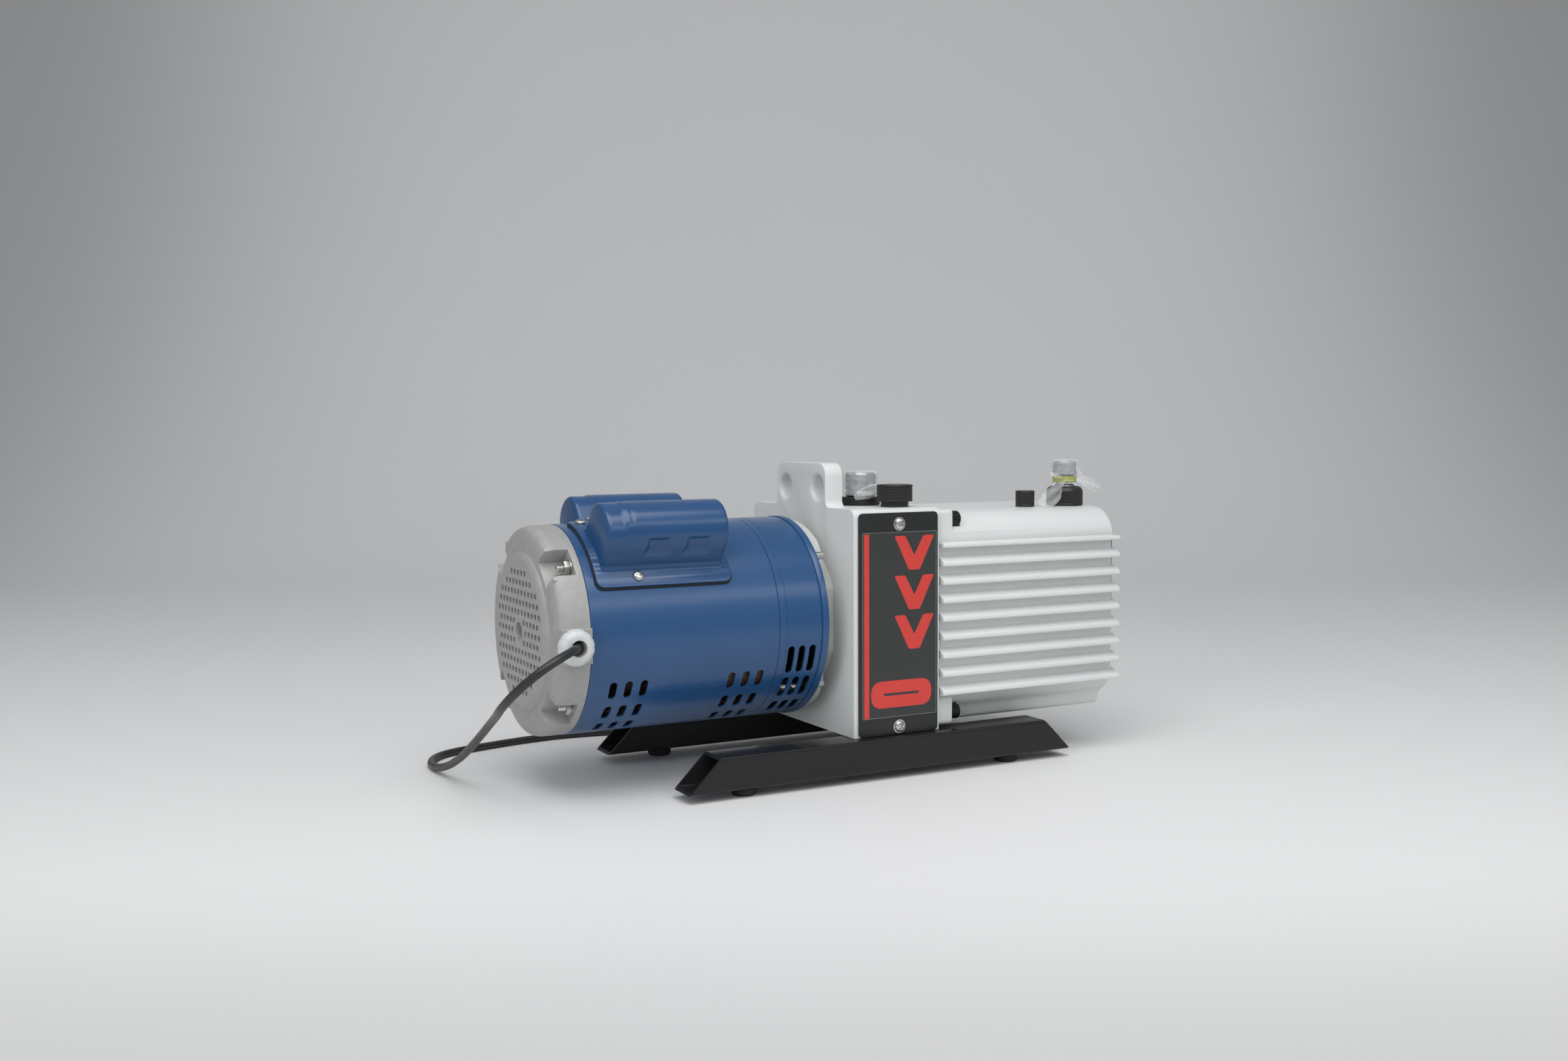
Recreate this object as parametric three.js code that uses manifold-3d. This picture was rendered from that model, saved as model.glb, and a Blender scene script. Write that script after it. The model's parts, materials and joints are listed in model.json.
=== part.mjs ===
// A two-stage rotary vane vacuum pump with its induction motor, on two steel rails.
// Millimetres, +Z up. X runs along the shaft, from the motor's end bell (-X) to the
// oil casing (+X). Lengths along X are measured from the face of the bracket housing
// that the motor bolts to, and the whole group then moves to the middle of its box.
import * as THREE from 'three';
import { mergeVertices } from 'three/addons/utils/BufferGeometryUtils.js';
import Module from 'manifold-3d';

const wasm = await Module();
wasm.setup();

// ---- driving dimensions ----
const MIDDLE_X = 13.25;        // middle of the machine's length, from the motor face
const GAP = 0.3;               // clearance between pieces that touch
const AXIS_Z = 128;            // shaft height above the floor
const MOTOR_RADIUS = 82.5;
const SHELL_WALL = 1.5;
const BELL_END = -249.5;       // raised grille disc of the end bell
const SHELL_START = -220.4;
const SHROUD_START = -63.4;
const SHROUD_GROOVE = -25.9;
const SHROUD_END = -19.4;
const HOUSING_WIDTH = 176;
const HOUSING_LENGTH = 81.6;
const HOUSING_TOP = 219.2;
const RAIL_BOTTOM = 7;
const RAIL_TOP = 34.1;
const RAIL_WALL = 2;
const RAIL_Y = 83.6;           // middle of each rail
const RAIL_WIDTH = 30;
const CASING_START = 84;
const CASING_END = 268;
const CASING_TOP = 214.3;
const CASING_WALL_Y = 83;
const FIN_TIP_Y = 91.8;
const FIN_COUNT = 9;
const FIN_PITCH = 15.375;
const TOP_FIN_Z = 185.2;       // underside of the highest fin
const COVER_ANGLE = 38;        // capacitor covers, degrees from straight up
const COVER_REACH = 101;       // shaft axis to the centre of a cover's round top
const COVER_RADIUS = 22.5;
const COVER_LENGTH = 99;
const NEAR_COVER_START = -207;
const FAR_COVER_START = -186;
const STUD_RADIUS_AT = 74;     // circle on which the four through bolts stand
const CORD_RADIUS = 3.2;
const COIL_RADIUS = 38;        // middle of the coil's turns
const COIL_X = 150;
const COIL_Y = 172;

// ---- materials: colour, roughness, metalness ----
const finish = (color, roughness, metalness) => ({ color, roughness, metalness });
const BLUE_PAINT = finish(0x214b7d, 0.35, 0.1);
const WHITE_PAINT = finish(0xe1e4e4, 0.4, 0);
const CAST_GREY = finish(0xbebebc, 0.6, 0.3);
const BLACK_COAT = finish(0x2d2d2e, 0.35, 0.1);
const BLACK_PLASTIC = finish(0x1c1c1d, 0.5, 0);
const RUBBER = finish(0x161616, 0.85, 0);
const ZINC = finish(0xb8b8b4, 0.3, 0.9);
const DARK_STEEL = finish(0x33343a, 0.4, 0.8);
const WHITE_PLASTIC = finish(0xe9ebec, 0.3, 0);
const CLEAR_FILM = finish(0xe6eaec, 0.25, 0);
const BAND_YELLOW = finish(0xc9cc5a, 0.6, 0);
const CABLE_PVC = finish(0x2b2b2c, 0.5, 0);
const PLATE_BLACK = finish(0x262729, 0.35, 0.2);
const GLASS = finish(0xcfd8c8, 0.1, 0);
const COPPER = finish(0xb06a3c, 0.5, 0.6);
const STEEL = finish(0x8d9095, 0.4, 0.9);

// ---- solids ----
function bareGeometry(geometry) {
  const bare = (geometry.index ? geometry.toNonIndexed() : geometry.clone());
  bare.deleteAttribute('normal');
  bare.deleteAttribute('uv');
  return mergeVertices(bare, 1e-4);
}

function solid(geometry) {
  const merged = bareGeometry(geometry);
  const index = merged.index.array;
  const kept = [];
  for (let i = 0; i < index.length; i += 3) {
    const [a, b, c] = [index[i], index[i + 1], index[i + 2]];
    if (a !== b && b !== c && c !== a) kept.push(a, b, c);
  }
  const vertProperties = new Float32Array(merged.attributes.position.array);
  return new wasm.Manifold(new wasm.Mesh({ numProp: 3, vertProperties, triVerts: new Uint32Array(kept) }));
}

const join = (...solids) => solids.reduce((whole, next) => whole.add(next));
const cut = (body, ...tools) => tools.reduce((whole, tool) => whole.subtract(tool), body);

function box(x0, x1, y0, y1, z0, z1) {
  const geometry = new THREE.BoxGeometry(x1 - x0, y1 - y0, z1 - z0);
  return solid(geometry.translate((x0 + x1) / 2, (y0 + y1) / 2, (z0 + z1) / 2));
}

// Each turns a shape that was built along Y (cylinder, lathe) so that Y becomes that axis.
const TURN_TO = {
  x: (geometry) => geometry.rotateZ(-Math.PI / 2),
  y: (geometry) => geometry,
  z: (geometry) => geometry.rotateX(Math.PI / 2),
};

function rod(axis, radius, from, to, centre, sides = 16) {
  const geometry = new THREE.CylinderGeometry(radius, radius, to - from, sides);
  TURN_TO[axis](geometry.translate(0, (from + to) / 2, 0));
  return solid(geometry.translate(...centre));
}

// A turned solid: outline is [radius, distance along the axis], outside edge in rising order.
function turned(axis, outline, centre, sides = 20) {
  const points = outline.map(([radius, along]) => new THREE.Vector2(radius, along));
  const ring = outline[0][0] > 0 ? [...points, points[0].clone()] : points;
  return solid(TURN_TO[axis](new THREE.LatheGeometry(ring, sides)).translate(...centre));
}

// A ring is a turned solid with square edges.
function ring(axis, inner, outer, from, to, centre, sides = 20) {
  return turned(axis, [[inner, from], [outer, from], [outer, to], [inner, to]], centre, sides);
}

function extruded(shape, depth, curveSegments = 6) {
  return new THREE.ExtrudeGeometry(shape, { depth, bevelEnabled: false, curveSegments });
}

// Extrude a shape drawn in (y, z) from x0 to x1.
function alongX(shape, x0, x1, curveSegments) {
  const cyclic = new THREE.Matrix4().set(0, 0, 1, x0, 1, 0, 0, 0, 0, 1, 0, 0, 0, 0, 0, 1);
  return solid(extruded(shape, x1 - x0, curveSegments).applyMatrix4(cyclic));
}

// Extrude a shape drawn in (x, z) from y0 to y1.
function alongY(shape, y0, y1, curveSegments) {
  return solid(extruded(shape, y1 - y0, curveSegments).rotateX(Math.PI / 2).translate(0, y1, 0));
}

const polygon = (points) => new THREE.Shape(points.map(([u, v]) => new THREE.Vector2(u, v)));

function roundedRectangle(u0, u1, v0, v1, radius) {
  const shape = new THREE.Shape();
  shape.absarc(u1 - radius, v1 - radius, radius, 0, Math.PI / 2);
  shape.absarc(u0 + radius, v1 - radius, radius, Math.PI / 2, Math.PI);
  shape.absarc(u0 + radius, v0 + radius, radius, Math.PI, Math.PI * 1.5);
  shape.absarc(u1 - radius, v0 + radius, radius, Math.PI * 1.5, Math.PI * 2);
  return shape;
}

const onAxis = [0, 0, AXIS_Z];
const radians = THREE.MathUtils.degToRad;

// Carry a solid made for the -Y side to the +Y side.
const mirrored = (body) => body.mirror([0, 1, 0]);

// Turn a solid about the shaft axis.
function turnAboutShaft(body, degrees) {
  return body.translate([0, 0, -AXIS_Z]).rotate([degrees, 0, 0]).translate([0, 0, AXIS_Z]);
}

const machine = new THREE.Group();
machine.position.x = -MIDDLE_X;

function addPiece(name, body, look) {
  const { vertProperties, triVerts } = body.getMesh();
  const geometry = new THREE.BufferGeometry();
  geometry.setAttribute('position', new THREE.BufferAttribute(vertProperties, 3));
  geometry.setIndex(new THREE.BufferAttribute(triVerts, 1));
  geometry.computeVertexNormals();
  const mesh = new THREE.Mesh(geometry, new THREE.MeshStandardMaterial(look));
  mesh.name = name;
  machine.add(mesh);
}

// ---- rails and feet ----
function rail(y) {
  const half = RAIL_WIDTH / 2;
  const outline = polygon([[-149.8, RAIL_BOTTOM], [210.6, RAIL_BOTTOM], [183.5, RAIL_TOP], [-122.7, RAIL_TOP]]);
  const bore = box(-160, 220, y - half + RAIL_WALL, y + half - RAIL_WALL,
    RAIL_BOTTOM + RAIL_WALL, RAIL_TOP - RAIL_WALL);
  return cut(alongY(outline, y - half, y + half), bore);
}
for (const [side, y] of [['near', -RAIL_Y], ['far', RAIL_Y]]) {
  addPiece(`support_rail_${side}`, rail(y), BLACK_COAT);
  for (const [end, x] of [['motor', -97], ['pump', 153]]) {
    const foot = turned('z', [[0, 0], [8.5, 0], [10, 1.5], [10, RAIL_BOTTOM - GAP], [0, RAIL_BOTTOM - GAP]], [x, y, 0], 16);
    addPiece(`rubber_foot_${side}_${end}`, foot, RUBBER);
  }
}

// ---- bracket housing, with the lifting lug and the holes of what it carries ----
const LUG_HALF_WIDTH = 42;
const LUG_TOP = 255.6;
const LUG_THICKNESS = 16;
const LUG_HOLE_RADIUS = 9.75;
const LUG_HOLE_Y = 28;
const LUG_HOLE_Z = 235.1;
const INLET = [47, -20];
const BALLAST_KNOB = [56, -60];
const LABEL_SCREW_X = 42;
const LABEL_SCREW_Z = [206.8, 41.1];

function lugShape() {
  const shape = new THREE.Shape();
  shape.moveTo(-LUG_HALF_WIDTH - 5, HOUSING_TOP - 4);
  shape.lineTo(LUG_HALF_WIDTH + 5, HOUSING_TOP - 4);
  shape.absarc(LUG_HALF_WIDTH + 5, HOUSING_TOP + 5, 5, -Math.PI / 2, -Math.PI, true);
  shape.absarc(LUG_HALF_WIDTH - 10, LUG_TOP - 10, 10, 0, Math.PI / 2);
  shape.absarc(-LUG_HALF_WIDTH + 10, LUG_TOP - 10, 10, Math.PI / 2, Math.PI);
  shape.absarc(-LUG_HALF_WIDTH - 5, HOUSING_TOP + 5, 5, 0, -Math.PI / 2, true);
  return shape;
}

function bracketHousing() {
  const half = HOUSING_WIDTH / 2;
  const shape = new THREE.Shape();
  shape.moveTo(-half, RAIL_TOP + GAP);
  shape.lineTo(half, RAIL_TOP + GAP);
  shape.absarc(half - 7, HOUSING_TOP - 7, 7, 0, Math.PI / 2);
  shape.absarc(-half + 7, HOUSING_TOP - 7, 7, Math.PI / 2, Math.PI);
  const cuts = [
    rod('x', 50, -5, 66, onAxis, 20),
    rod('x', 14.5, 60, 90, onAxis),
    rod('z', 12, HOUSING_TOP - 22, HOUSING_TOP + 5, [INLET[0], INLET[1], 0]),
    rod('z', 5.3, HOUSING_TOP - 14, HOUSING_TOP + 5, [BALLAST_KNOB[0], BALLAST_KNOB[1], 0], 10),
  ];
  for (const y of [-LUG_HOLE_Y, LUG_HOLE_Y]) {
    cuts.push(rod('x', LUG_HOLE_RADIUS, -5, 30, [0, y, LUG_HOLE_Z]));
  }
  for (const z of LABEL_SCREW_Z) cuts.push(rod('y', 2.6, -95, -76, [LABEL_SCREW_X, 0, z], 12));
  for (const [y, z] of CASING_BOLTS) cuts.push(rod('x', 4.3, 64, 90, [0, y, z], 12));
  return cut(join(alongX(shape, 0, HOUSING_LENGTH, 4), alongX(lugShape(), 0, LUG_THICKNESS, 5)), ...cuts);
}

// ---- oil casing: a finned die casting, open towards the housing ----
const CASING_BOLTS = [[-76, 208.6], [76, 208.6], [-76, 46.1], [76, 46.1]];
const FILLER = [205, -40];
const EXHAUST = [249, -40];
const SIGHT_GLASS = [-30, 85];     // y and z on the end face
const DRAIN_PLUG = [0, 52];

function casingHalfOutline() {
  const points = [[57, CASING_TOP]];
  for (const angle of [68, 47, 26]) {
    points.push([57 + 28 * Math.cos(radians(angle)), CASING_TOP - 28 + 28 * Math.sin(radians(angle))]);
  }
  points.push([CASING_WALL_Y + 0.6, 189.5]);
  for (let fin = 0; fin < FIN_COUNT; fin += 1) {
    const underside = TOP_FIN_Z - fin * FIN_PITCH;
    if (fin > 0) points.push([CASING_WALL_Y, underside + 8.5]);
    points.push([FIN_TIP_Y - 0.8, underside + 4], [FIN_TIP_Y, underside + 2.6]);
    points.push([FIN_TIP_Y - 0.8, underside], [CASING_WALL_Y, underside]);
  }
  points.push([81.8, 60.9], [74.6, 52.5], [67.2, 48.3], [64.5, 38.1], [60, 35.8]);
  return points;
}

function mirroredPolygon(half) {
  const other = half.map(([y, z]) => [-y, z]).reverse();
  return polygon([...half, ...other].reverse());
}

function oilCasing() {
  const cavity = mirroredPolygon([[54, 208], [78, 186], [78, 66], [58, 46], [56, 41]]);
  const body = join(
    alongX(mirroredPolygon(casingHalfOutline()), CASING_START, CASING_END),
    box(CASING_START, 99, -CASING_WALL_Y, CASING_WALL_Y, 184.2, 216.6),
    box(CASING_START, 99, -CASING_WALL_Y, CASING_WALL_Y, 36.6, 60.6),
  );
  const cuts = [alongX(cavity, CASING_START - 5, CASING_END - 6)];
  for (const [y, z] of CASING_BOLTS) {
    cuts.push(rod('x', 4.3, CASING_START - 5, 105, [0, y, z], 12), rod('x', 7.4, 99, 113, [0, y, z], 16));
  }
  cuts.push(rod('z', 5.3, 195, 220, [FILLER[0], FILLER[1], 0], 12));
  cuts.push(rod('z', 9.3, 195, 220, [EXHAUST[0], EXHAUST[1], 0], 16));
  cuts.push(rod('x', 15.3, 255, 275, [0, SIGHT_GLASS[0], SIGHT_GLASS[1]]));
  cuts.push(rod('x', 5.3, 255, 275, [0, DRAIN_PLUG[0], DRAIN_PLUG[1]], 12));
  return cut(body, ...cuts);
}

function casingGasket() {
  const outline = mirroredPolygon([[57, 213], [78, 201.5], [82.4, 189], [82.4, 61], [74, 52], [64, 40], [58, 37]]);
  const opening = mirroredPolygon([[50, 203], [72, 188], [72, 64], [56, 49], [52, 46]]);
  const from = HOUSING_LENGTH + GAP;
  const plate = alongX(outline, from, CASING_START - GAP);
  const holes = CASING_BOLTS.map(([y, z]) => rod('x', 4.6, from - 3, CASING_START + 3, [0, y, z], 12));
  return cut(plate, alongX(opening, from - 5, CASING_START + 5), ...holes);
}

function casingBolt([y, z]) {
  const head = rod('x', 6.5, 99 + GAP, 107.5, [0, y, z], 20);
  const shank = rod('x', 4, 67, 100, [0, y, z], 12);
  const socket = rod('x', 3.4, 103.5, 110, [0, y, z], 6);
  return cut(join(head, shank), socket);
}

addPiece('bracket_housing', bracketHousing(), WHITE_PAINT);
addPiece('oil_casing', oilCasing(), WHITE_PAINT);
addPiece('casing_gasket', casingGasket(), RUBBER);
CASING_BOLTS.forEach((place, i) => addPiece(`casing_bolt_${i + 1}`, casingBolt(place), BLACK_COAT));

// ---- label plate on the near face of the housing ----
function labelPlate() {
  const near = -HOUSING_WIDTH / 2 - GAP;
  const plate = alongY(roundedRectangle(3.8, 79.3, 34.6, 216.1, 4), near - 1.5, near, 3);
  const holes = LABEL_SCREW_Z.map((z) => rod('y', 2.6, near - 5, near + 5, [LABEL_SCREW_X, 0, z], 12));
  return cut(plate, ...holes);
}

// A pan-head screw pointing along +Y from its seat, with a cross recess.
function panScrew(seatY, headRadius, shankRadius, shankLength, crossWidth) {
  const head = turned('y', [[0, -2.6], [headRadius * 0.6, -2.5], [headRadius * 0.95, -1.6],
    [headRadius, -GAP / 2], [0, -GAP / 2]], [0, seatY, 0], 16);
  const shank = rod('y', shankRadius, seatY - 1, seatY + shankLength, [0, 0, 0], 10);
  const half = crossWidth / 2;
  const reach = headRadius * 0.55;
  return cut(join(head, shank), box(-reach, reach, seatY - 4, seatY - 1.5, -half, half),
    box(-half, half, seatY - 4, seatY - 1.5, -reach, reach));
}

addPiece('label_plate', labelPlate(), PLATE_BLACK);
LABEL_SCREW_Z.forEach((z, i) => {
  const screw = panScrew(-HOUSING_WIDTH / 2 - GAP - 1.5, 4.6, 2.3, 9, 1.2);
  addPiece(`label_screw_${['upper', 'lower'][i]}`, screw.translate([LABEL_SCREW_X, 0, z]), ZINC);
});

// ---- end face of the casing ----
const glassOutline = [[0, 258], [14.9, 258], [14.9, CASING_END + GAP], [17, CASING_END + GAP],
  [17, CASING_END + 3], [14, CASING_END + 4.5], [0, CASING_END + 4.5]];
addPiece('sight_glass', turned('x', glassOutline, [0, SIGHT_GLASS[0], SIGHT_GLASS[1]], 16), GLASS);
const drainHead = rod('x', 8, CASING_END + GAP, CASING_END + 8, [0, DRAIN_PLUG[0], DRAIN_PLUG[1]], 6);
const drainShank = rod('x', 5, 258, CASING_END + 2, [0, DRAIN_PLUG[0], DRAIN_PLUG[1]], 16);
addPiece('drain_plug', join(drainHead, drainShank), BLACK_COAT);

// ---- ports and knobs on top ----
const inletAt = [INLET[0], INLET[1], HOUSING_TOP];
const inletNeck = [[8, -20], [11.7, -20], [11.7, 7 + GAP], [12.5, 8], [13, 9], [13, 26], [12, 28], [8, 28]];
addPiece('inlet_nut', ring('z', 12.2, 16.5, GAP, 7, inletAt, 20), BLACK_PLASTIC);
addPiece('inlet_port', turned('z', inletNeck, inletAt, 16), STEEL);
const inletFilm = [[13.6, 10], [15.6, 8.5], [16, 20], [14.4, 30.6], [0, 31.2], [0, 28.6], [12.6, 28.6], [13.6, 26.5]];
addPiece('inlet_film', turned('z', inletFilm, inletAt, 16), CLEAR_FILM);

const ballastOutline = [[0, -12], [5, -12], [5, GAP], [11.5, GAP], [11.5, 4.5], [15, 4.5], [15, 17.4],
  [14.2, 18.4], [0, 18.4]];
addPiece('gas_ballast_knob', turned('z', ballastOutline, [...BALLAST_KNOB, HOUSING_TOP], 20), BLACK_PLASTIC);

const fillerOutline = [[0, -12], [5, -12], [5, GAP], [8.5, GAP], [8.5, 13.4], [7.8, 14.2], [0, 14.2]];
addPiece('filler_plug', turned('z', fillerOutline, [...FILLER, CASING_TOP], 16), BLACK_PLASTIC);

const exhaustAt = [...EXHAUST, CASING_TOP];
const exhaustPort = [[5.5, -12], [9, -12], [9, 17.8], [7.2, 20], [7.2, 27], [10.4, 28], [10.4, 39], [9.4, 40],
  [5.5, 40]];
addPiece('exhaust_nut', ring('z', 9.4, 16.4, GAP, 17.3, exhaustAt, 20), BLACK_PLASTIC);
addPiece('exhaust_port', turned('z', exhaustPort, exhaustAt, 16), STEEL);
addPiece('film_band', ring('z', 9.6, 10.8, 21.2, 26.4, exhaustAt, 14), BAND_YELLOW);
const exhaustFilm = [[7.6, 20.6], [9.3, 20.6], [9.3, 27.2], [12.6, 28.5], [12.6, 42], [0, 43], [0, 40.6],
  [10.9, 40.6], [10.9, 27.7], [7.6, 26.6]];
addPiece('exhaust_film', turned('z', exhaustFilm, exhaustAt, 16), CLEAR_FILM);

// ---- motor: shell, shroud, cast flange ----
// Ventilation slots below the middle, on both sides: one column of slots at each x.
function ventSlots(columns, rows, width) {
  const slots = [];
  for (const x of columns) {
    for (const [angle, length] of rows) {
      const slot = box(x - width / 2, x + width / 2, -MOTOR_RADIUS - 6, -MOTOR_RADIUS + 6,
        AXIS_Z - length / 2, AXIS_Z + length / 2);
      slots.push(turnAboutShaft(slot, angle));
    }
  }
  return [...slots, ...slots.map(mirrored)];
}

const shellRows = [[29, 15.5], [45.5, 15.5], [62, 15.5]];
const shellSlots = ventSlots([-200.5, -188, -175.5, -102, -89.5, -77.5], shellRows, 6);
const shroudSlots = ventSlots([-52.5, -43, -33.5], [[19, 23.5], [38, 22], [56.5, 18]], 6);
const shellInner = MOTOR_RADIUS - SHELL_WALL;

// The screws of a capacitor cover: [x, degrees from straight up], and the hole of each.
const coverScrews = (start) => [[start + 3, 11.5], [start + 28, 57.5]];
const screwHole = ([x, angle]) => turnAboutShaft(rod('z', 2.4, AXIS_Z + 70, AXIS_Z + 95, [x, 0, 0], 10), -angle);
const shellHoles = [
  ...coverScrews(NEAR_COVER_START).map(screwHole).map(mirrored),
  ...coverScrews(FAR_COVER_START).map(screwHole),
];
addPiece('motor_shell', cut(ring('x', shellInner, MOTOR_RADIUS, SHELL_START, SHROUD_START - GAP, onAxis, 36),
  ...shellSlots, ...shellHoles), BLUE_PAINT);

const shroudOutline = [[shellInner, SHROUD_START], [MOTOR_RADIUS, SHROUD_START], [MOTOR_RADIUS, SHROUD_GROOVE],
  [83.2, SHROUD_GROOVE + 0.8], [83.2, SHROUD_END], [78.5, SHROUD_END], [78.5, SHROUD_END - 1.5],
  [shellInner, SHROUD_END - 3]];
addPiece('fan_shroud', cut(turned('x', shroudOutline, onAxis, 36), ...shroudSlots), BLUE_PAINT);

function motorFlange() {
  const disc = ring('x', 50, 80, SHROUD_END + GAP, -GAP, onAxis, 28);
  const relief = (side) => box(-30, 5, side * 74 - 20, side * 74 + 20, AXIS_Z - 42, AXIS_Z + 42);
  const stud = rod('x', 3.4, -30, -7, [0, -STUD_RADIUS_AT, AXIS_Z], 12);
  const holes = [45, 135, 225, 315].map((angle) => turnAboutShaft(stud, angle));
  return cut(disc, relief(-1), relief(1), ...holes);
}
addPiece('motor_flange', motorFlange(), CAST_GREY);

// ---- end bell ----
const BELL_RADIUS = 82.2;
const POCKET_BACK = -226;
const GLAND_X = -235.8;
const GLAND_Z = 125.8;
const GLAND_SEAT_Y = -89;
// Air slots in the grille disc: height from the axis, nearest and farthest |y|.
const GRILLE_ROWS = [-40, -24, -8, 8, 24, 40].map((z) => [z, Math.abs(z) > 20 ? 3 : 25, 52 - Math.abs(z) * 0.5]);

function endBell() {
  const outline = [[7.5, BELL_END], [57.5, BELL_END], [60.8, -248], [62.3, -245.8], [74.5, -245.8], [80, -243.6],
    [BELL_RADIUS, -238], [BELL_RADIUS, SHELL_START - GAP], [78.6, SHELL_START - GAP], [78.6, -239],
    [74, -242], [57, -242], [56, -246], [21, -246], [21, -229], [17.8, -229], [17.8, -243], [7.5, -243]];
  const bosses = [];
  const cuts = [];
  for (const angle of [45, 135, 225, 315]) {
    const boss = box(-244, POCKET_BACK + 4, -80, -62, AXIS_Z - 16, AXIS_Z + 16);
    const pocket = box(-255, POCKET_BACK, -95, -67, AXIS_Z - 12.5, AXIS_Z + 12.5);
    bosses.push(turnAboutShaft(boss, angle));
    cuts.push(turnAboutShaft(pocket, angle));
    cuts.push(turnAboutShaft(rod('x', 3.4, -230, -210, [0, -STUD_RADIUS_AT, AXIS_Z], 12), angle));
  }
  const glandBoss = box(-245.5, -222, GLAND_SEAT_Y, -76, GLAND_Z - 13, GLAND_Z + 13);
  cuts.push(rod('y', 7.5, -100, -70, [GLAND_X, 0, GLAND_Z], 20));
  for (const [z, inner, outer] of GRILLE_ROWS) {
    for (const [y0, y1] of [[-outer, -inner], [inner, outer]]) {
      cuts.push(box(-255, -240, y0, y1, AXIS_Z + z - 3, AXIS_Z + z + 3));
    }
  }
  return cut(join(turned('x', outline, onAxis, 28), ...bosses, glandBoss), ...cuts);
}
addPiece('end_bell', endBell(), CAST_GREY);

// A through bolt: a stud from the pocket to the motor flange, with its hexagon nut.
[45, 135, 225, 315].forEach((angle, i) => {
  const stud = rod('x', 3, -237, -9, [0, -STUD_RADIUS_AT, AXIS_Z], 10);
  const nut = rod('x', 5.8, POCKET_BACK - 5.3, POCKET_BACK - GAP, [0, -STUD_RADIUS_AT, AXIS_Z], 6);
  addPiece(`through_bolt_${i + 1}`, turnAboutShaft(join(stud, nut), angle), ZINC);
});

// ---- cable gland ----
const glandOutline = [[6.2, -98.3], [9.5, -98.3], [12.8, -96], [13.8, -93.5], [13.8, GLAND_SEAT_Y - GAP],
  [7.1, GLAND_SEAT_Y - GAP], [7.1, -73], [5.9, -73]];
addPiece('cable_gland', turned('y', glandOutline, [GLAND_X, 0, GLAND_Z], 16), WHITE_PLASTIC);

// ---- capacitors under their covers, made for the far side and mirrored for the near one ----
const GASKET_RADIUS = [MOTOR_RADIUS + GAP, 84];
const FLANGE_RADIUS = [84 + GAP, 85.6];
const FLANGE_FROM = 6;          // degrees from straight up, the edge near the top
const FLANGE_TO = 63;

// A band of the barrel between two radii and two angles from straight up, towards +Y.
function barrelBand([inner, outer], from, to, x0, x1) {
  const shape = new THREE.Shape();
  shape.absarc(0, 0, outer, radians(90 - to), radians(90 - from));
  shape.absarc(0, 0, inner, radians(90 - from), radians(90 - to), true);
  return alongX(shape, x0, x1, 5).translate([0, 0, AXIS_Z]);
}

// The cover's section: straight sides up to a round top, drawn upright.
function tombstone(halfWidth, bottom) {
  const shape = new THREE.Shape();
  shape.moveTo(-halfWidth, bottom);
  shape.lineTo(halfWidth, bottom);
  shape.absarc(0, AXIS_Z + COVER_REACH, halfWidth, 0, Math.PI);
  return shape;
}

const tilt = (body) => turnAboutShaft(body, -COVER_ANGLE);

function capacitorCover(start) {
  const end = start + COVER_LENGTH;
  const wall = 1.5;
  const outside = tilt(alongX(tombstone(COVER_RADIUS, AXIS_Z + 60), start, end, 4));
  const inside = tilt(alongX(tombstone(COVER_RADIUS - wall, AXIS_Z + 50), start + wall, end - wall, 4));
  const flange = barrelBand(FLANGE_RADIUS, FLANGE_FROM, FLANGE_TO, start - 5.5, end + 6);
  const barrel = rod('x', FLANGE_RADIUS[0] + 0.4, start - 20, end + 20, onAxis, 36);
  const holes = coverScrews(start).map(screwHole);
  return cut(join(cut(outside, barrel), flange), inside, ...holes);
}

function coverScrew([x, angle]) {
  const screw = panScrew(0, 4.3, 2, 4.4, 1.1).rotate([-90, 0, 0]);
  return turnAboutShaft(screw.translate([x, 0, AXIS_Z + FLANGE_RADIUS[1]]), -angle);
}

function coverGasket(start) {
  const [x0, x1] = [start - 6.5, start + COVER_LENGTH + 7];
  const band = barrelBand(GASKET_RADIUS, FLANGE_FROM - 0.7, FLANGE_TO + 0.7, x0, x1);
  const window = tilt(alongX(tombstone(COVER_RADIUS - 2, AXIS_Z + 50), start + 2, start + COVER_LENGTH - 2, 4));
  return cut(band, window, ...coverScrews(start).map(screwHole));
}

function capacitor(start) {
  const can = rod('x', 17, start + 6, start + COVER_LENGTH - 12, [0, 0, AXIS_Z + COVER_REACH + 1.5], 14);
  const stud = rod('x', 4, start + COVER_LENGTH - 13, start + COVER_LENGTH - 6,
    [0, 0, AXIS_Z + COVER_REACH + 1.5], 8);
  return tilt(join(can, stud));
}

for (const [side, start] of [['near', NEAR_COVER_START], ['far', FAR_COVER_START]]) {
  const place = side === 'near' ? mirrored : (body) => body;
  addPiece(`capacitor_cover_${side}`, place(capacitorCover(start)), BLUE_PAINT);
  addPiece(`cover_gasket_${side}`, place(coverGasket(start)), RUBBER);
  addPiece(`capacitor_${side}`, place(capacitor(start)), BLACK_PLASTIC);
  coverScrews(start).forEach((screw, i) => {
    addPiece(`cover_screw_${side}_${['upper', 'lower'][i]}`, place(coverScrew(screw)), ZINC);
  });
}

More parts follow.
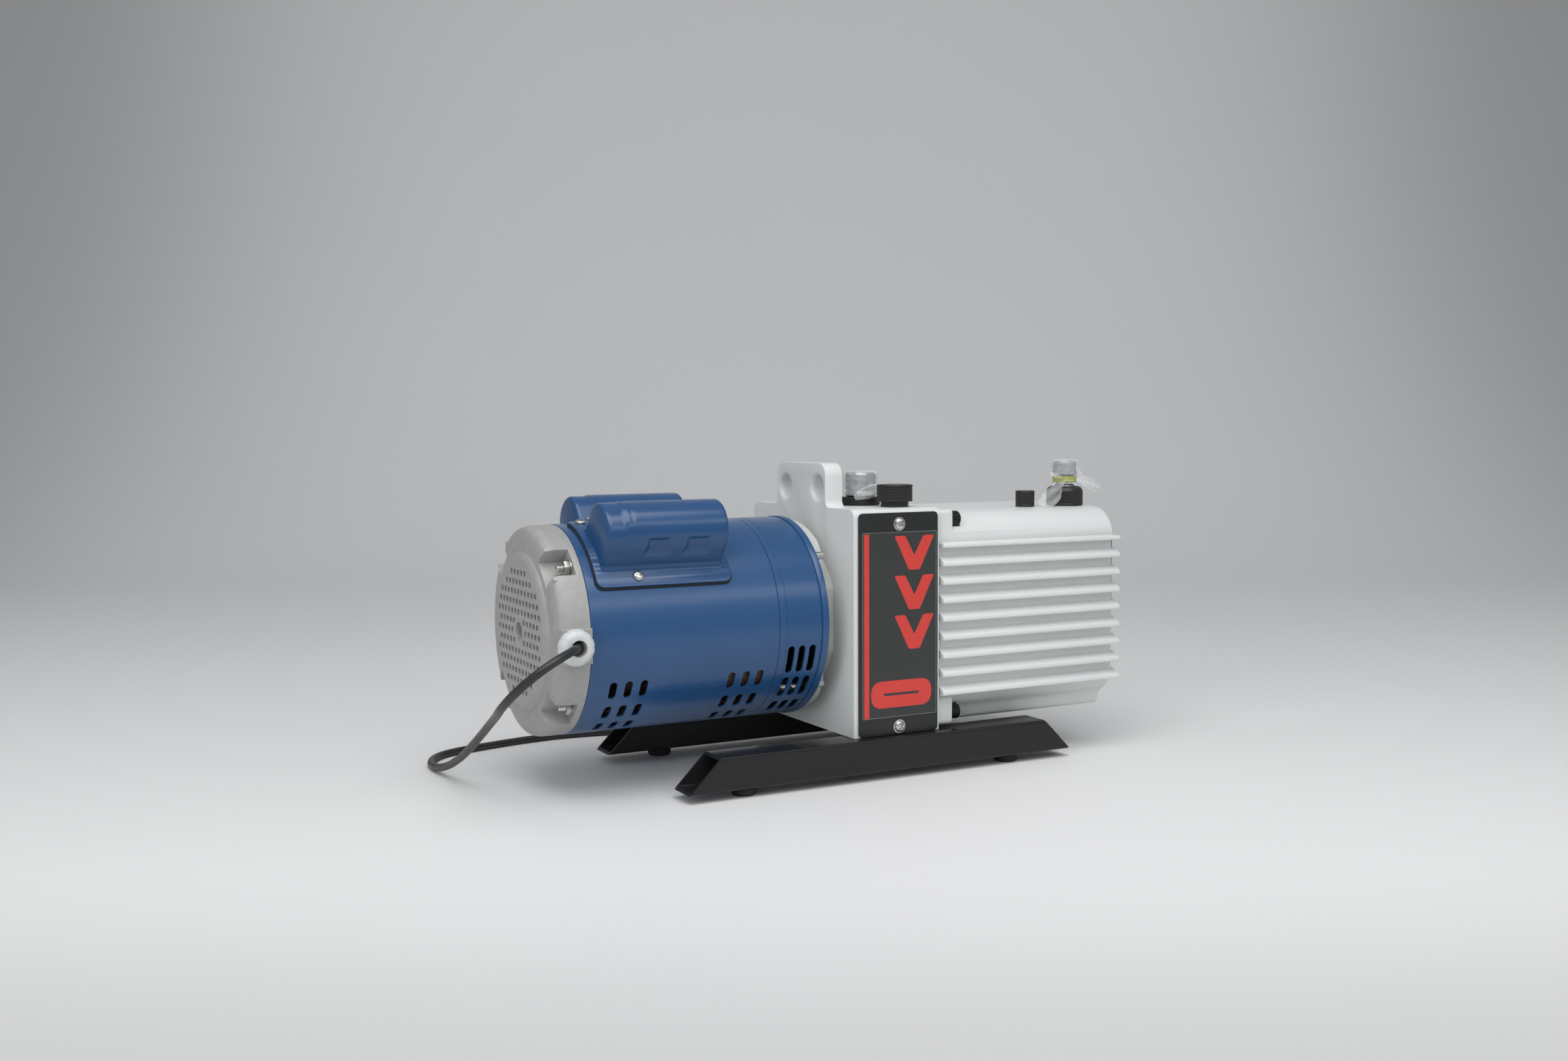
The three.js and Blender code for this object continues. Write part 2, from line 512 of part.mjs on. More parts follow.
// ---- inside the motor ----
function stator() {
  const core = ring('x', 45.6, shellInner - GAP - 0.5, -172, -72, onAxis, 24);
  const windings = ring('x', 48, 68, -190, -57, onAxis, 16);
  const groove = box(-180, -60, -95, -STUD_RADIUS_AT + 4, AXIS_Z - 4, AXIS_Z + 4);
  return cut(join(core, windings), ...[45, 135, 225, 315].map((angle) => turnAboutShaft(groove, angle)));
}
addPiece('motor_stator', stator(), COPPER);
const rotorOutline = [[0, -245], [7.2, -245], [7.2, -195], [12, -195], [12, -176], [44.9, -176], [44.9, -70],
  [12, -70], [12, -66], [8, -66], [8, 20], [0, 20]];
addPiece('motor_rotor', turned('x', rotorOutline, onAxis, 16), STEEL);
addPiece('rear_bearing', ring('x', 7.5, 17.5, -242.5, -231.5, onAxis, 14), STEEL);
addPiece('front_bearing', ring('x', 8.3, 17.5, -17, -6, onAxis, 14), STEEL);

// ---- fan, coupling and pump module ----
function coolingFan() {
  const hub = ring('x', 8.3, 14, -54, -24, onAxis, 12);
  const plate = ring('x', 10, 62, -29, -26, onAxis, 18);
  const blade = box(-52, -27, -60, -11, AXIS_Z - 1, AXIS_Z + 1);
  const blades = [0, 60, 120, 180, 240, 300].map((angle) => turnAboutShaft(blade, angle));
  return join(hub, plate, ...blades);
}
addPiece('cooling_fan', coolingFan(), BLACK_PLASTIC);
addPiece('shaft_coupling', ring('x', 9.6, 24, 2, 46, onAxis, 14), DARK_STEEL);

const CYLINDER_BORE = 30;
const ROTOR_RADIUS = 24;
const BORE_OFFSET = 5.5;        // the rotor nearly touches the bottom of the bore
const VANE_THICKNESS = 5;
function pumpCylinder() {
  const body = join(rod('x', 46, HOUSING_LENGTH + GAP, 190, onAxis, 20),
    box(HOUSING_LENGTH + GAP, 190, -40, 40, AXIS_Z - 46, AXIS_Z));
  const bore = rod('x', CYLINDER_BORE, HOUSING_LENGTH - 5, 183, [0, 0, AXIS_Z + BORE_OFFSET], 24);
  const outlet = rod('z', 5, AXIS_Z + 25, AXIS_Z + 60, [140, 0, 0], 12);
  return cut(body, bore, outlet);
}
function pumpRotor() {
  const half = (VANE_THICKNESS + GAP * 2) / 2;
  const slot = (side) => box(80, 190, -half, half, Math.min(side * 6, side * 40) + AXIS_Z,
    Math.max(side * 6, side * 40) + AXIS_Z);
  const body = join(rod('x', ROTOR_RADIUS, 84, 181, onAxis, 20), rod('x', 9, 21, 85, onAxis, 14));
  return cut(body, slot(1), slot(-1));
}
addPiece('pump_cylinder', pumpCylinder(), STEEL);
addPiece('pump_rotor', pumpRotor(), DARK_STEEL);
for (const [name, side] of [['vane_upper', 1], ['vane_lower', -1]]) {
  const [low, high] = side > 0 ? [7, 23.6] : [-23.6, -7];
  const half = VANE_THICKNESS / 2;
  addPiece(name, box(85, 180, -half, half, AXIS_Z + low, AXIS_Z + high), BLACK_PLASTIC);
}

// ---- power cord: out of the gland, down to the floor, round behind the machine to its coil ----
const ROUTE = [
  [-234.0, -84.0, 126.4], [-237.4, -97.4, 126.4], [-246.7, -110.0, 125.8], [-259.3, -117.9, 122.1],
  [-272.6, -119.6, 115.0], [-283.4, -115.0, 105.7], [-289.8, -105.6, 96.2], [-291.8, -93.3, 88.2],
  [-290.6, -80.0, 82.3], [-287.8, -66.1, 77.5], [-284.9, -51.7, 72.8], [-282.9, -37.3, 67.3],
  [-281.9, -23.3, 61.0], [-281.7, -9.7, 54.0], [-282.0, 3.7, 46.7], [-282.4, 17.0, 39.5],
  [-283.1, 43.4, 26.1], [-284.6, 70.4, 14.5], [-285.9, 84.3, 9.7], [-287.3, 98.4, 6.1],
  [-288.0, 113.3, 4.0], [-286.6, 128.4, 3.2], [-281.5, 143.3, 3.2], [-271.2, 156.8, 3.2],
  [-256.3, 166.5, 3.2], [-236.9, 172.6, 3.2], [-212.0, 179.5, 3.2], [-180.0, 186.0, 3.2],
  [-150.0, 188.5, 3.2], [-118.0, 185.0, 3.2], [-80.0, 175.0, 3.2], [-40.0, 162.5, 3.2],
  [5.0, 150.0, 3.2], [45.0, 140.5, 3.2], [85.0, 133.5, 3.2],
  [COIL_X - 27, COIL_Y - COIL_RADIUS - CORD_RADIUS, 3.2],
];
const TAIL = [
  [COIL_X - 27, COIL_Y + COIL_RADIUS + CORD_RADIUS, 9.9], [COIL_X - 37, COIL_Y + 42.6, 11.4],
  [COIL_X - 48, COIL_Y + 45, 13.2],
];

// A plain tube along a route, as a swept polygon whose corners lie on the cord's surface.
function cordAlong(route, steps) {
  const curve = new THREE.CatmullRomCurve3(route.map((point) => new THREE.Vector3(...point)), false, 'centripetal');
  const section = new THREE.Shape();
  section.absarc(0, 0, CORD_RADIUS, 0, Math.PI * 2);
  return solid(new THREE.ExtrudeGeometry(section, { steps, curveSegments: 4, extrudePath: curve }));
}

const COIL_HALF = CORD_RADIUS * 2 + 0.3;      // two turns side by side, two turns high
addPiece('power_cord', cordAlong(ROUTE, 50), CABLE_PVC);
addPiece('cord_coil', ring('z', COIL_RADIUS - COIL_HALF, COIL_RADIUS + COIL_HALF, 0, COIL_HALF * 2,
  [COIL_X, COIL_Y, 0], 28), CABLE_PVC);
addPiece('cord_tail', cordAlong(TAIL, 2), CABLE_PVC);

function powerPlug() {
  const outline = [[0, 0], [4.6, 0], [6.5, 16], [10, 19], [13, 27], [13, 44], [0, 44]];
  const body = turned('y', outline, [0, 0, 0], 14);
  const blade = (x) => box(x - 0.8, x + 0.8, 43, 61, -3.2, 3.2);
  const earth = rod('y', 2.4, 43, 63, [0, 0, -8], 10);
  return join(body, blade(-6.35), blade(6.35), earth);
}
// The plug lies behind the coil, its pins pointing towards the motor end.
addPiece('power_plug', powerPlug().rotate([0, 0, 90]).translate([COIL_X - 49.3, COIL_Y + 45, 13.2]), BLACK_PLASTIC);

export default machine;
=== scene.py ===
# Looks for a rotary vane vacuum pump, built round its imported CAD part.
# Mesh code works in millimetres: x from the face of the bracket housing that the motor bolts
# to, y across, z from the floor. Each piece is turned into metres as it is placed.
import json
import math

import bmesh
import bpy
from mathutils import Matrix, Vector, noise


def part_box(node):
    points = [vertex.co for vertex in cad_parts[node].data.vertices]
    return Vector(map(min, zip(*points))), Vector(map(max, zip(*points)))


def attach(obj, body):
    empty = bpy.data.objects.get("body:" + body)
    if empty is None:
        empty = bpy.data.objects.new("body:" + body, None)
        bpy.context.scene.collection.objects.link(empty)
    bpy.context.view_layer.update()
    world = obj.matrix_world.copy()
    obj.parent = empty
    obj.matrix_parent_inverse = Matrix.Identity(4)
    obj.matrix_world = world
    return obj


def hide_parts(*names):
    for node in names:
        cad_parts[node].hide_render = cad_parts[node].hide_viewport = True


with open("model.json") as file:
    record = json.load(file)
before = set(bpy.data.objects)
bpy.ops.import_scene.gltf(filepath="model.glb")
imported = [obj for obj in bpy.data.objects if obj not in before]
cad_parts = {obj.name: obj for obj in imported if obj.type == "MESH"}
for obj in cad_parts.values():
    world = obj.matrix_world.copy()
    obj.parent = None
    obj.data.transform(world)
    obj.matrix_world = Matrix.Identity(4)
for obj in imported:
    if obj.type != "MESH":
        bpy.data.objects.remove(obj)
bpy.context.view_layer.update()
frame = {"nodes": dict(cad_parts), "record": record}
SCENE = bpy.context.scene
X0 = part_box("bracket_housing")[0].x
MM = 0.001
AXIS_Z = 128.0
AXIS = (0.0, 0.0, AXIS_Z)


def P(x, y, z):
    return Vector((X0 + x * MM, y * MM, z * MM))


# ---- camera ----
YAW, PITCH, ROLL = (math.radians(a) for a in (27.8727, 3.7750, -0.2790))
forward = Vector((math.sin(YAW) * math.cos(PITCH), math.cos(YAW) * math.cos(PITCH), -math.sin(PITCH)))
level = Vector((math.cos(YAW), -math.sin(YAW), 0))
upright = level.cross(forward)
right = level * math.cos(ROLL) + upright * math.sin(ROLL)
up = upright * math.cos(ROLL) - level * math.sin(ROLL)
camera_data = bpy.data.cameras.new("camera")
camera_data.sensor_width = 36
camera_data.lens = 34.53
camera_data.clip_start, camera_data.clip_end = 0.05, 60
camera = bpy.data.objects.new("camera", camera_data)
SCENE.collection.objects.link(camera)
camera.matrix_world = Matrix([[right.x, up.x, -forward.x, -0.62235], [right.y, up.y, -forward.y, -1.12084],
                              [right.z, up.z, -forward.z, 0.28212], [0, 0, 0, 1]])
SCENE.camera = camera


# ---- materials ----
def material(name, color, roughness, metallic=0.0, vary=0.05, vary_scale=25, rough_vary=0.06, rough_scale=90,
             bump=0.0, bump_scale=900, edge_wear_and_highlight=0.0, **sockets):
    """A procedural surface: mottled colour, uneven roughness, fine grain, and paler sharp edges, partly wear
    and partly a painted highlight.
    """
    mat = bpy.data.materials.new(name)
    mat.use_nodes = True
    nodes, links = mat.node_tree.nodes, mat.node_tree.links
    shader = nodes["Principled BSDF"]
    place = nodes.new("ShaderNodeTexCoord").outputs["Object"]

    def grain(scale, detail=5.0):
        tex = nodes.new("ShaderNodeTexNoise")
        tex.inputs["Scale"].default_value = scale
        tex.inputs["Detail"].default_value = detail
        links.new(place, tex.inputs["Vector"])
        return tex.outputs["Fac"]

    ramp = nodes.new("ShaderNodeValToRGB")
    ramp.color_ramp.elements[0].position, ramp.color_ramp.elements[1].position = 0.3, 0.7
    for element, factor in zip(ramp.color_ramp.elements, (1 - vary, 1 + vary)):
        element.color = [min(c * factor, 1) for c in color[:3]] + [1]
    links.new(grain(vary_scale), ramp.inputs["Fac"])
    tint = ramp.outputs["Color"]
    # Paler sharp edges from pointiness: partly edge wear, partly a painted highlight along the edges.
    if edge_wear_and_highlight:
        edges = nodes.new("ShaderNodeNewGeometry").outputs["Pointiness"]
        sharp = nodes.new("ShaderNodeMapRange")
        sharp.inputs["From Min"].default_value, sharp.inputs["From Max"].default_value = 0.51, 0.6
        sharp.inputs["To Max"].default_value = edge_wear_and_highlight
        links.new(edges, sharp.inputs["Value"])
        mix = nodes.new("ShaderNodeMix")
        mix.data_type = "RGBA"
        mix.inputs["B"].default_value = [min(c * 1.6 + 0.05, 1) for c in color[:3]] + [1]
        links.new(sharp.outputs["Result"], mix.inputs["Factor"])
        links.new(tint, mix.inputs["A"])
        tint = mix.outputs["Result"]
    links.new(tint, shader.inputs["Base Color"])
    spread = nodes.new("ShaderNodeMapRange")
    spread.inputs["To Min"].default_value = max(roughness - rough_vary, 0.02)
    spread.inputs["To Max"].default_value = min(roughness + rough_vary, 1)
    links.new(grain(rough_scale), spread.inputs["Value"])
    links.new(spread.outputs["Result"], shader.inputs["Roughness"])
    if bump:
        relief = nodes.new("ShaderNodeBump")
        relief.inputs["Strength"].default_value = 1.0
        relief.inputs["Distance"].default_value = bump * MM
        links.new(grain(bump_scale, 3.0), relief.inputs["Height"])
        links.new(relief.outputs["Normal"], shader.inputs["Normal"])
    shader.inputs["Metallic"].default_value = metallic
    for socket, value in sockets.items():
        shader.inputs[socket.replace("_", " ")].default_value = value
    return mat


# The blue enamel gets paler edges, partly wear and partly a painted highlight.
BLUE = material("blue_enamel", (0.010, 0.062, 0.175), 0.26, vary=0.03, rough_vary=0.03, bump=0.006,
                bump_scale=300,
                edge_wear_and_highlight=0.2, Coat_Weight=0.15, Coat_Roughness=0.15)
WHITE = material("white_paint", (0.66, 0.675, 0.67), 0.36, vary=0.012, bump=0.03, bump_scale=700)
CAST = material("cast_grey", (0.36, 0.36, 0.35), 0.55, 0.2, vary=0.06, vary_scale=140, bump=0.12,
                bump_scale=1500)
PALE_CAST = material("pale_cast", (0.54, 0.55, 0.52), 0.5, 0.1, vary=0.04, vary_scale=120, bump=0.1,
                     bump_scale=1300)
# The black coat gets paler edges, partly wear and partly a painted highlight.
BLACK_COAT = material("black_coat", (0.006, 0.006, 0.007), 0.2, vary=0.15, bump=0.01, bump_scale=330,
                      edge_wear_and_highlight=0.2,
                      Specular_IOR_Level=0.28)
BLACK_PLASTIC = material("black_plastic", (0.014, 0.014, 0.015), 0.42, vary=0.15, bump=0.03, bump_scale=1500)
RUBBER = material("rubber", (0.012, 0.012, 0.012), 0.75, vary=0.2, bump=0.06, bump_scale=1200)
ZINC = material("zinc", (0.62, 0.62, 0.59), 0.26, 1.0, vary=0.1, vary_scale=300, rough_vary=0.12, bump=0.02)
WHITE_PLASTIC = material("white_plastic", (0.60, 0.61, 0.61), 0.3, vary=0.015, bump=0.04, bump_scale=260,
                         Subsurface_Weight=0.15)
FILM = material("clear_film", (0.86, 0.88, 0.88), 0.22, vary=0.06, vary_scale=160, bump=0.5, bump_scale=170,
                Alpha=0.3)
BAND = material("yellow_band", (0.42, 0.44, 0.13), 0.45, vary=0.1, bump=0.05, Alpha=0.85)
CABLE = material("cable_pvc", (0.022, 0.022, 0.023), 0.38, vary=0.15, vary_scale=60, bump=0.05,
                 bump_scale=500)
PLATE = material("plate_black", (0.012, 0.013, 0.0135), 0.4, vary=0.1, bump=0.02, bump_scale=900)
STICKER = material("label_dark", (0.030, 0.032, 0.031), 0.45, vary=0.04, bump=0.01)
STICKER_RIM = material("label_rim", (0.22, 0.22, 0.21), 0.45, vary=0.1)
RED = material("label_red", (0.62, 0.046, 0.036), 0.4, vary=0.03, bump=0.01)
GLASS = material("window_glass", (0.62, 0.60, 0.45), 0.06, vary=0.05, Transmission_Weight=0.5)
# Painted shade: the winding is much darker than its copper colour, standing in for the shade inside the motor.
SHADED_WINDING = material("winding", (0.06, 0.025, 0.014), 0.45, 0.4, vary=0.2, vary_scale=220, bump=0.3,
                  bump_scale=300)
STEEL = material("steel", (0.42, 0.43, 0.44), 0.33, 1.0, vary=0.15, vary_scale=110, bump=0.05, bump_scale=600)
DARK_STEEL = material("dark_steel", (0.06, 0.06, 0.065), 0.42, 0.9, vary=0.2, bump=0.04)

BY_SLOT = {"blue_paint": BLUE, "white_paint": WHITE, "cast_grey": CAST, "black_coat": BLACK_COAT,
           "black_plastic": BLACK_PLASTIC, "rubber": RUBBER, "zinc": ZINC, "white_plastic": WHITE_PLASTIC,
           "clear_film": FILM, "yellow_band": BAND, "cable_pvc": CABLE, "plate_black": PLATE,
           "label_dark": STICKER, "label_red": RED, "window_glass": GLASS, "winding": SHADED_WINDING, "steel": STEEL,
           "dark_steel": DARK_STEEL}
SLOT_OF = {part["node"]: part["material_slot"] for part in frame["record"]["subparts"]}
for node_name, node in frame["nodes"].items():
    node.data.materials.clear()
    node.data.materials.append(BY_SLOT[SLOT_OF[node_name]])


# ---- mesh tools, in millimetres ----
def spot(axis, a, b, along, centre):
    x, y, z = centre
    return {"x": (x + along, y + a, z + b), "y": (x + b, y + along, z + a),
            "z": (x + a, y + b, z + along)}[axis]


def soften(points, radius, steps=4, closed=True):
    """Round the corners of an outline. A point may carry its own radius as a third number."""
    count, out = len(points), []
    for i, point in enumerate(points):
        here = Vector(point[:2])
        if not closed and i in (0, count - 1):
            out.append(tuple(here))
            continue
        before, after = Vector(points[i - 1][:2]), Vector(points[(i + 1) % count][:2])
        reach = min(point[2] if len(point) > 2 else radius, 0.48 * (before - here).length,
                    0.48 * (after - here).length)
        if reach < 0.02:
            out.append(tuple(here))
            continue
        start, end = here + (before - here).normalized() * reach, here + (after - here).normalized() * reach
        for k in range(steps + 1):
            t = k / steps
            out.append(tuple(start * (1 - t) ** 2 + here * 2 * t * (1 - t) + end * t * t))
    return out


def bridge(bm, first, second):
    """Join two rings of corners. A ring of one corner is a pole."""
    if len(first) == 1 and len(second) == 1:
        return
    count = max(len(first), len(second))
    for k in range(count):
        m = (k + 1) % count
        if len(first) == 1:
            bm.faces.new((first[0], second[k], second[m]))
        elif len(second) == 1:
            bm.faces.new((first[k], second[0], first[m]))
        else:
            bm.faces.new((first[k], second[k], second[m], first[m]))


def lathe(outline, axis="x", centre=AXIS, sides=96, ripple=None):
    """Turn an outline of (radius, along). It is closed on itself unless it starts on the axis."""
    bm, rings = bmesh.new(), []
    for j, (radius, along) in enumerate(outline):
        if radius < 1e-4:
            rings.append([bm.verts.new(spot(axis, 0, 0, along, centre))])
            continue
        ring = []
        for k in range(sides):
            angle = math.tau * k / sides
            r = radius + (ripple(j, k, radius, along) if ripple else 0)
            ring.append(bm.verts.new(spot(axis, r * math.cos(angle), r * math.sin(angle), along, centre)))
        rings.append(ring)
    for first, second in zip(rings, rings[1:]):
        bridge(bm, first, second)
    if outline[0][0] > 1e-4:
        bridge(bm, rings[-1], rings[0])
    bmesh.ops.recalc_face_normals(bm, faces=bm.faces)
    return bm


def rod(radius, start, end, axis, centre, sides=32):
    """A plain round bar, mostly a tool that cuts a hole."""
    return lathe([(0, start), (radius, start), (radius, end), (0, end)], axis, centre, sides)


def inset(outline, distance):
    """The outline moved inwards. It has to run counter-clockwise."""
    out, count = [], len(outline)
    for i in range(count):
        here = Vector(outline[i])
        a, b = ((here - Vector(outline[i - 1])).normalized(),
                (Vector(outline[(i + 1) % count]) - here).normalized())
        na, nb = Vector((-a.y, a.x)), Vector((-b.y, b.x))
        middle = na + nb
        middle = middle.normalized() if middle.length > 1e-6 else na
        out.append(tuple(here + middle * distance / max(middle.dot(na), 0.5)))
    return out


def prism(outline, axis, start, end, edge=(0.0, 0.0)):
    """Extrude an outline drawn in (y, z), (x, z) or (x, y). edge rounds the rims at start and end."""
    area = sum(a[0] * b[1] - b[0] * a[1] for a, b in zip(outline, outline[1:] + outline[:1]))
    outline = outline if area > 0 else outline[::-1]
    levels = []
    for place, size, sign in ((start, edge[0], 1), (end, edge[1], -1)):
        stack = [(place, 0.0)]
        if size:
            stack = [(place + sign * size * (1 - math.cos(a)), size * (1 - math.sin(a)))
                     for a in (0, math.pi / 8, math.pi / 4, 3 * math.pi / 8, math.pi / 2)]
        levels.append(stack)
    bm = bmesh.new()
    put = {"x": lambda u, v, w: (w, u, v), "y": lambda u, v, w: (u, w, v), "z": lambda u, v,
           w: (u, v, w)}[axis]
    rings = []
    for along, shrink in levels[0] + levels[1][::-1]:
        rings.append([bm.verts.new(put(u, v, along)) for u,
                      v in (inset(outline, shrink) if shrink else outline)])
    for first, second in zip(rings, rings[1:]):
        bridge(bm, first, second)
    caps = [bm.faces.new(rings[0]), bm.faces.new(rings[-1])]
    bmesh.ops.triangulate(bm, faces=caps, ngon_method="EAR_CLIP")
    bmesh.ops.recalc_face_normals(bm, faces=bm.faces)
    return bm


def slab(x0, x1, y0, y1, z0, z1):
    return prism([(x0, y0), (x1, y0), (x1, y1), (x0, y1)], "z", z0, z1)


def pill(length, width, steps=7):
    """A slot with round ends, upright, about its middle."""
    r, half = width / 2, (length - width) / 2
    top = [(r * math.cos(math.pi * k / steps),
        half + r * math.sin(math.pi * k / steps)) for k in range(steps + 1)]
    return top + [(-u, -v) for u, v in top]


def turn(bm, degrees):
    """Turn about the shaft axis."""
    c, s = math.cos(math.radians(degrees)), math.sin(math.radians(degrees))
    for v in bm.verts:
        y, z = v.co.y, v.co.z - AXIS_Z
        v.co.y, v.co.z = y * c - z * s, AXIS_Z + y * s + z * c
    return bm


def shift(bm, x, y, z):
    bmesh.ops.translate(bm, vec=(x, y, z), verts=bm.verts)
    return bm


def flipped(bm):
    """Mirror from -Y to +Y."""
    for v in bm.verts:
        v.co.y = -v.co.y
    bmesh.ops.reverse_faces(bm, faces=bm.faces)
    return bm


def merged(*parts):
    """One mesh of several loose ones."""
    whole = bmesh.new()
    for part in parts:
        mesh = bpy.data.meshes.new("part")
        part.to_mesh(mesh)
        part.free()
        whole.from_mesh(mesh)
        bpy.data.meshes.remove(mesh)
    return whole


def bare_object(bm, name="tool"):
    mesh = bpy.data.meshes.new(name)
    bm.to_mesh(mesh)
    bm.free()
    obj = bpy.data.objects.new(name, mesh)
    SCENE.collection.objects.link(obj)
    return obj


def through(bm, add, *others):
    """The mesh after the modifiers that add() puts on it."""
    obj = bare_object(bm)
    tools = [bare_object(other) for other in others]
    add(obj, *tools)
    graph = bpy.context.evaluated_depsgraph_get()
    graph.update()
    made = obj.evaluated_get(graph)
    out = bmesh.new()
    out.from_mesh(made.to_mesh())
    for old in [obj, *tools]:
        mesh = old.data
        bpy.data.objects.remove(old)
        bpy.data.meshes.remove(mesh)
    return out


def combine(body, tool, operation="DIFFERENCE"):
    def add(obj, other):
        modifier = obj.modifiers.new("combine", "BOOLEAN")
        modifier.operation, modifier.solver, modifier.object = operation, "MANIFOLD", other
    return through(body, add, tool)


def bevelled(body, width, segments, angle):
    def add(obj):
        modifier = obj.modifiers.new("round", "BEVEL")
        modifier.width, modifier.segments = width, segments
        modifier.limit_method, modifier.angle_limit = "ANGLE", math.radians(angle)
        modifier.miter_outer = "MITER_ARC"
    return through(body, add)


def piece(name, bm, look, body="pump_frame", stands_for=(), angle=38):
    for v in bm.verts:
        v.co = P(*v.co)
    bmesh.ops.remove_doubles(bm, verts=bm.verts, dist=1e-6)
    obj = bare_object(bm, name)
    obj.data.materials.append(look)
    obj.data.shade_smooth()
    obj.data.set_sharp_from_angle(angle=math.radians(angle))
    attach(obj, body)
    if stands_for:
        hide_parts(*([stands_for] if isinstance(stands_for, str) else stands_for))
    return obj


# ---- power cord ----
CORD_R = 3.2
COIL_X, COIL_Y, COIL_R = 150.0, 172.0, 38.0
ROUTE = [
    (-234.0, -84.0, 126.4), (-237.4, -97.4, 126.4), (-246.7, -110.0, 125.8), (-259.3, -117.9, 122.1),
    (-272.6, -119.6, 115.0), (-283.4, -115.0, 105.7), (-289.8, -105.6, 96.2), (-291.8, -93.3, 88.2),
    (-290.6, -80.0, 82.3), (-287.8, -66.1, 77.5), (-284.9, -51.7, 72.8), (-282.9, -37.3, 67.3),
    (-281.9, -23.3, 61.0), (-281.7, -9.7, 54.0), (-282.0, 3.7, 46.7), (-282.4, 17.0, 39.5),
    (-283.1, 43.4, 26.1), (-284.6, 70.4, 14.5), (-285.9, 84.3, 9.7), (-287.3, 98.4, 6.1),
    (-288.0, 113.3, 4.0), (-286.6, 128.4, 3.2), (-281.5, 143.3, 3.2), (-271.2, 156.8, 3.2),
    (-256.3, 166.5, 3.2), (-236.9, 172.6, 3.2), (-212.0, 179.5, 3.2), (-180.0, 186.0, 3.2),
    (-150.0, 188.5, 3.2), (-118.0, 185.0, 3.2), (-80.0, 175.0, 3.2), (-40.0, 162.5, 3.2),
    (5.0, 150.0, 3.2), (45.0, 140.5, 3.2), (85.0, 133.5, 3.2),
    (COIL_X - 27, COIL_Y - COIL_R - CORD_R, 3.2),
]
TAIL = [(COIL_X - 27, COIL_Y + COIL_R + CORD_R, 9.9), (COIL_X - 37, COIL_Y + 42.6, 11.4),
        (COIL_X - 48, COIL_Y + 45, 13.2)]


def coil_points():
    """Two turns on the floor, outer then inner, and one and a half on top of them, inner then outer."""
    points, outer, inner = [], COIL_R + CORD_R, COIL_R - CORD_R
    for k in range(1, 85):
        turns = 3.5 * k / 84
        whole, part = int(turns), turns - int(turns)
        ease = max(0.0, min(1.0, (part - 0.78) / 0.2))
        ease = ease * ease * (3 - 2 * ease)
        radii, heights = (outer, inner, inner, outer, outer), (3.2, 3.2, 9.6, 9.6, 9.6)
        radius = radii[whole] + (radii[whole + 1] - radii[whole]) * ease
        height = heights[whole] + (heights[whole + 1] - heights[whole]) * ease
        angle = -math.pi / 2 + math.tau * turns
        points.append((COIL_X + radius * math.cos(angle), COIL_Y + radius * math.sin(angle), height))
    return points


def smooth_line(points, spacing=3.0):
    """A centripetal Catmull-Rom curve through the points, cut into short steps."""
    fixed = [Vector(p) for p in points]
    fixed = [2 * fixed[0] - fixed[1]] + fixed + [2 * fixed[-1] - fixed[-2]]
    line = []
    for a, b, c, d in zip(fixed, fixed[1:], fixed[2:], fixed[3:]):
        t1 = (b - a).length ** 0.5
        t2 = t1 + (c - b).length ** 0.5
        t3 = t2 + (d - c).length ** 0.5
        steps = max(1, round((c - b).length / spacing))
        for k in range(steps):
            t = t1 + (t2 - t1) * k / steps
            ab, bc = a * (1 - t / t1) + b * (t / t1), b * ((t2 - t) / (t2 - t1)) + c * ((t - t1) / (t2 - t1))
            cd = c * ((t3 - t) / (t3 - t2)) + d * ((t - t2) / (t3 - t2))
            abc, bcd = (ab * ((t2 - t) / t2) + bc * (t / t2),
                        bc * ((t3 - t) / (t3 - t1)) + cd * ((t - t1) / (t3 - t1)))
            line.append(abc * ((t2 - t) / (t2 - t1)) + bcd * ((t - t1) / (t2 - t1)))
    return line + [fixed[-2]]


cord_line = [P(*p) for p in smooth_line(ROUTE + coil_points() + TAIL)]
cord_data = bpy.data.curves.new("mains_cord", "CURVE")
cord_data.dimensions = "3D"
cord_data.bevel_depth = CORD_R * MM
cord_data.bevel_resolution = 5
cord_data.use_fill_caps = True
spline = cord_data.splines.new("POLY")
spline.points.add(len(cord_line) - 1)
for point, place in zip(spline.points, cord_line):
    point.co = (*place, 1)
spline.use_smooth = True
cord_data.materials.append(CABLE)
mains_cord = bpy.data.objects.new("mains_cord", cord_data)
SCENE.collection.objects.link(mains_cord)
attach(mains_cord, "pump_frame")
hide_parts("power_cord", "cord_coil", "cord_tail")


# ---- mains plug and the tie round the coil ----
PLUG_X, PLUG_Y, PLUG_Z = COIL_X - 49.3, COIL_Y + 45.0, 13.2
plug_profile = soften([(0, 0.0), (4.4, 0.0), (4.8, 3), (5.4, 15), (9.5, 18.5), (12.6, 26), (12.8, 40),
                       (11.6, 44), (0, 44)],
                      1.5, closed=False)


def plug_ripple(j, k, radius, along):
    rib = -0.45 if 3 < along < 15 and j % 2 else 0
    return rib + (0.5 * math.cos(2 * math.tau * k / 72) if radius > 9 else 0)


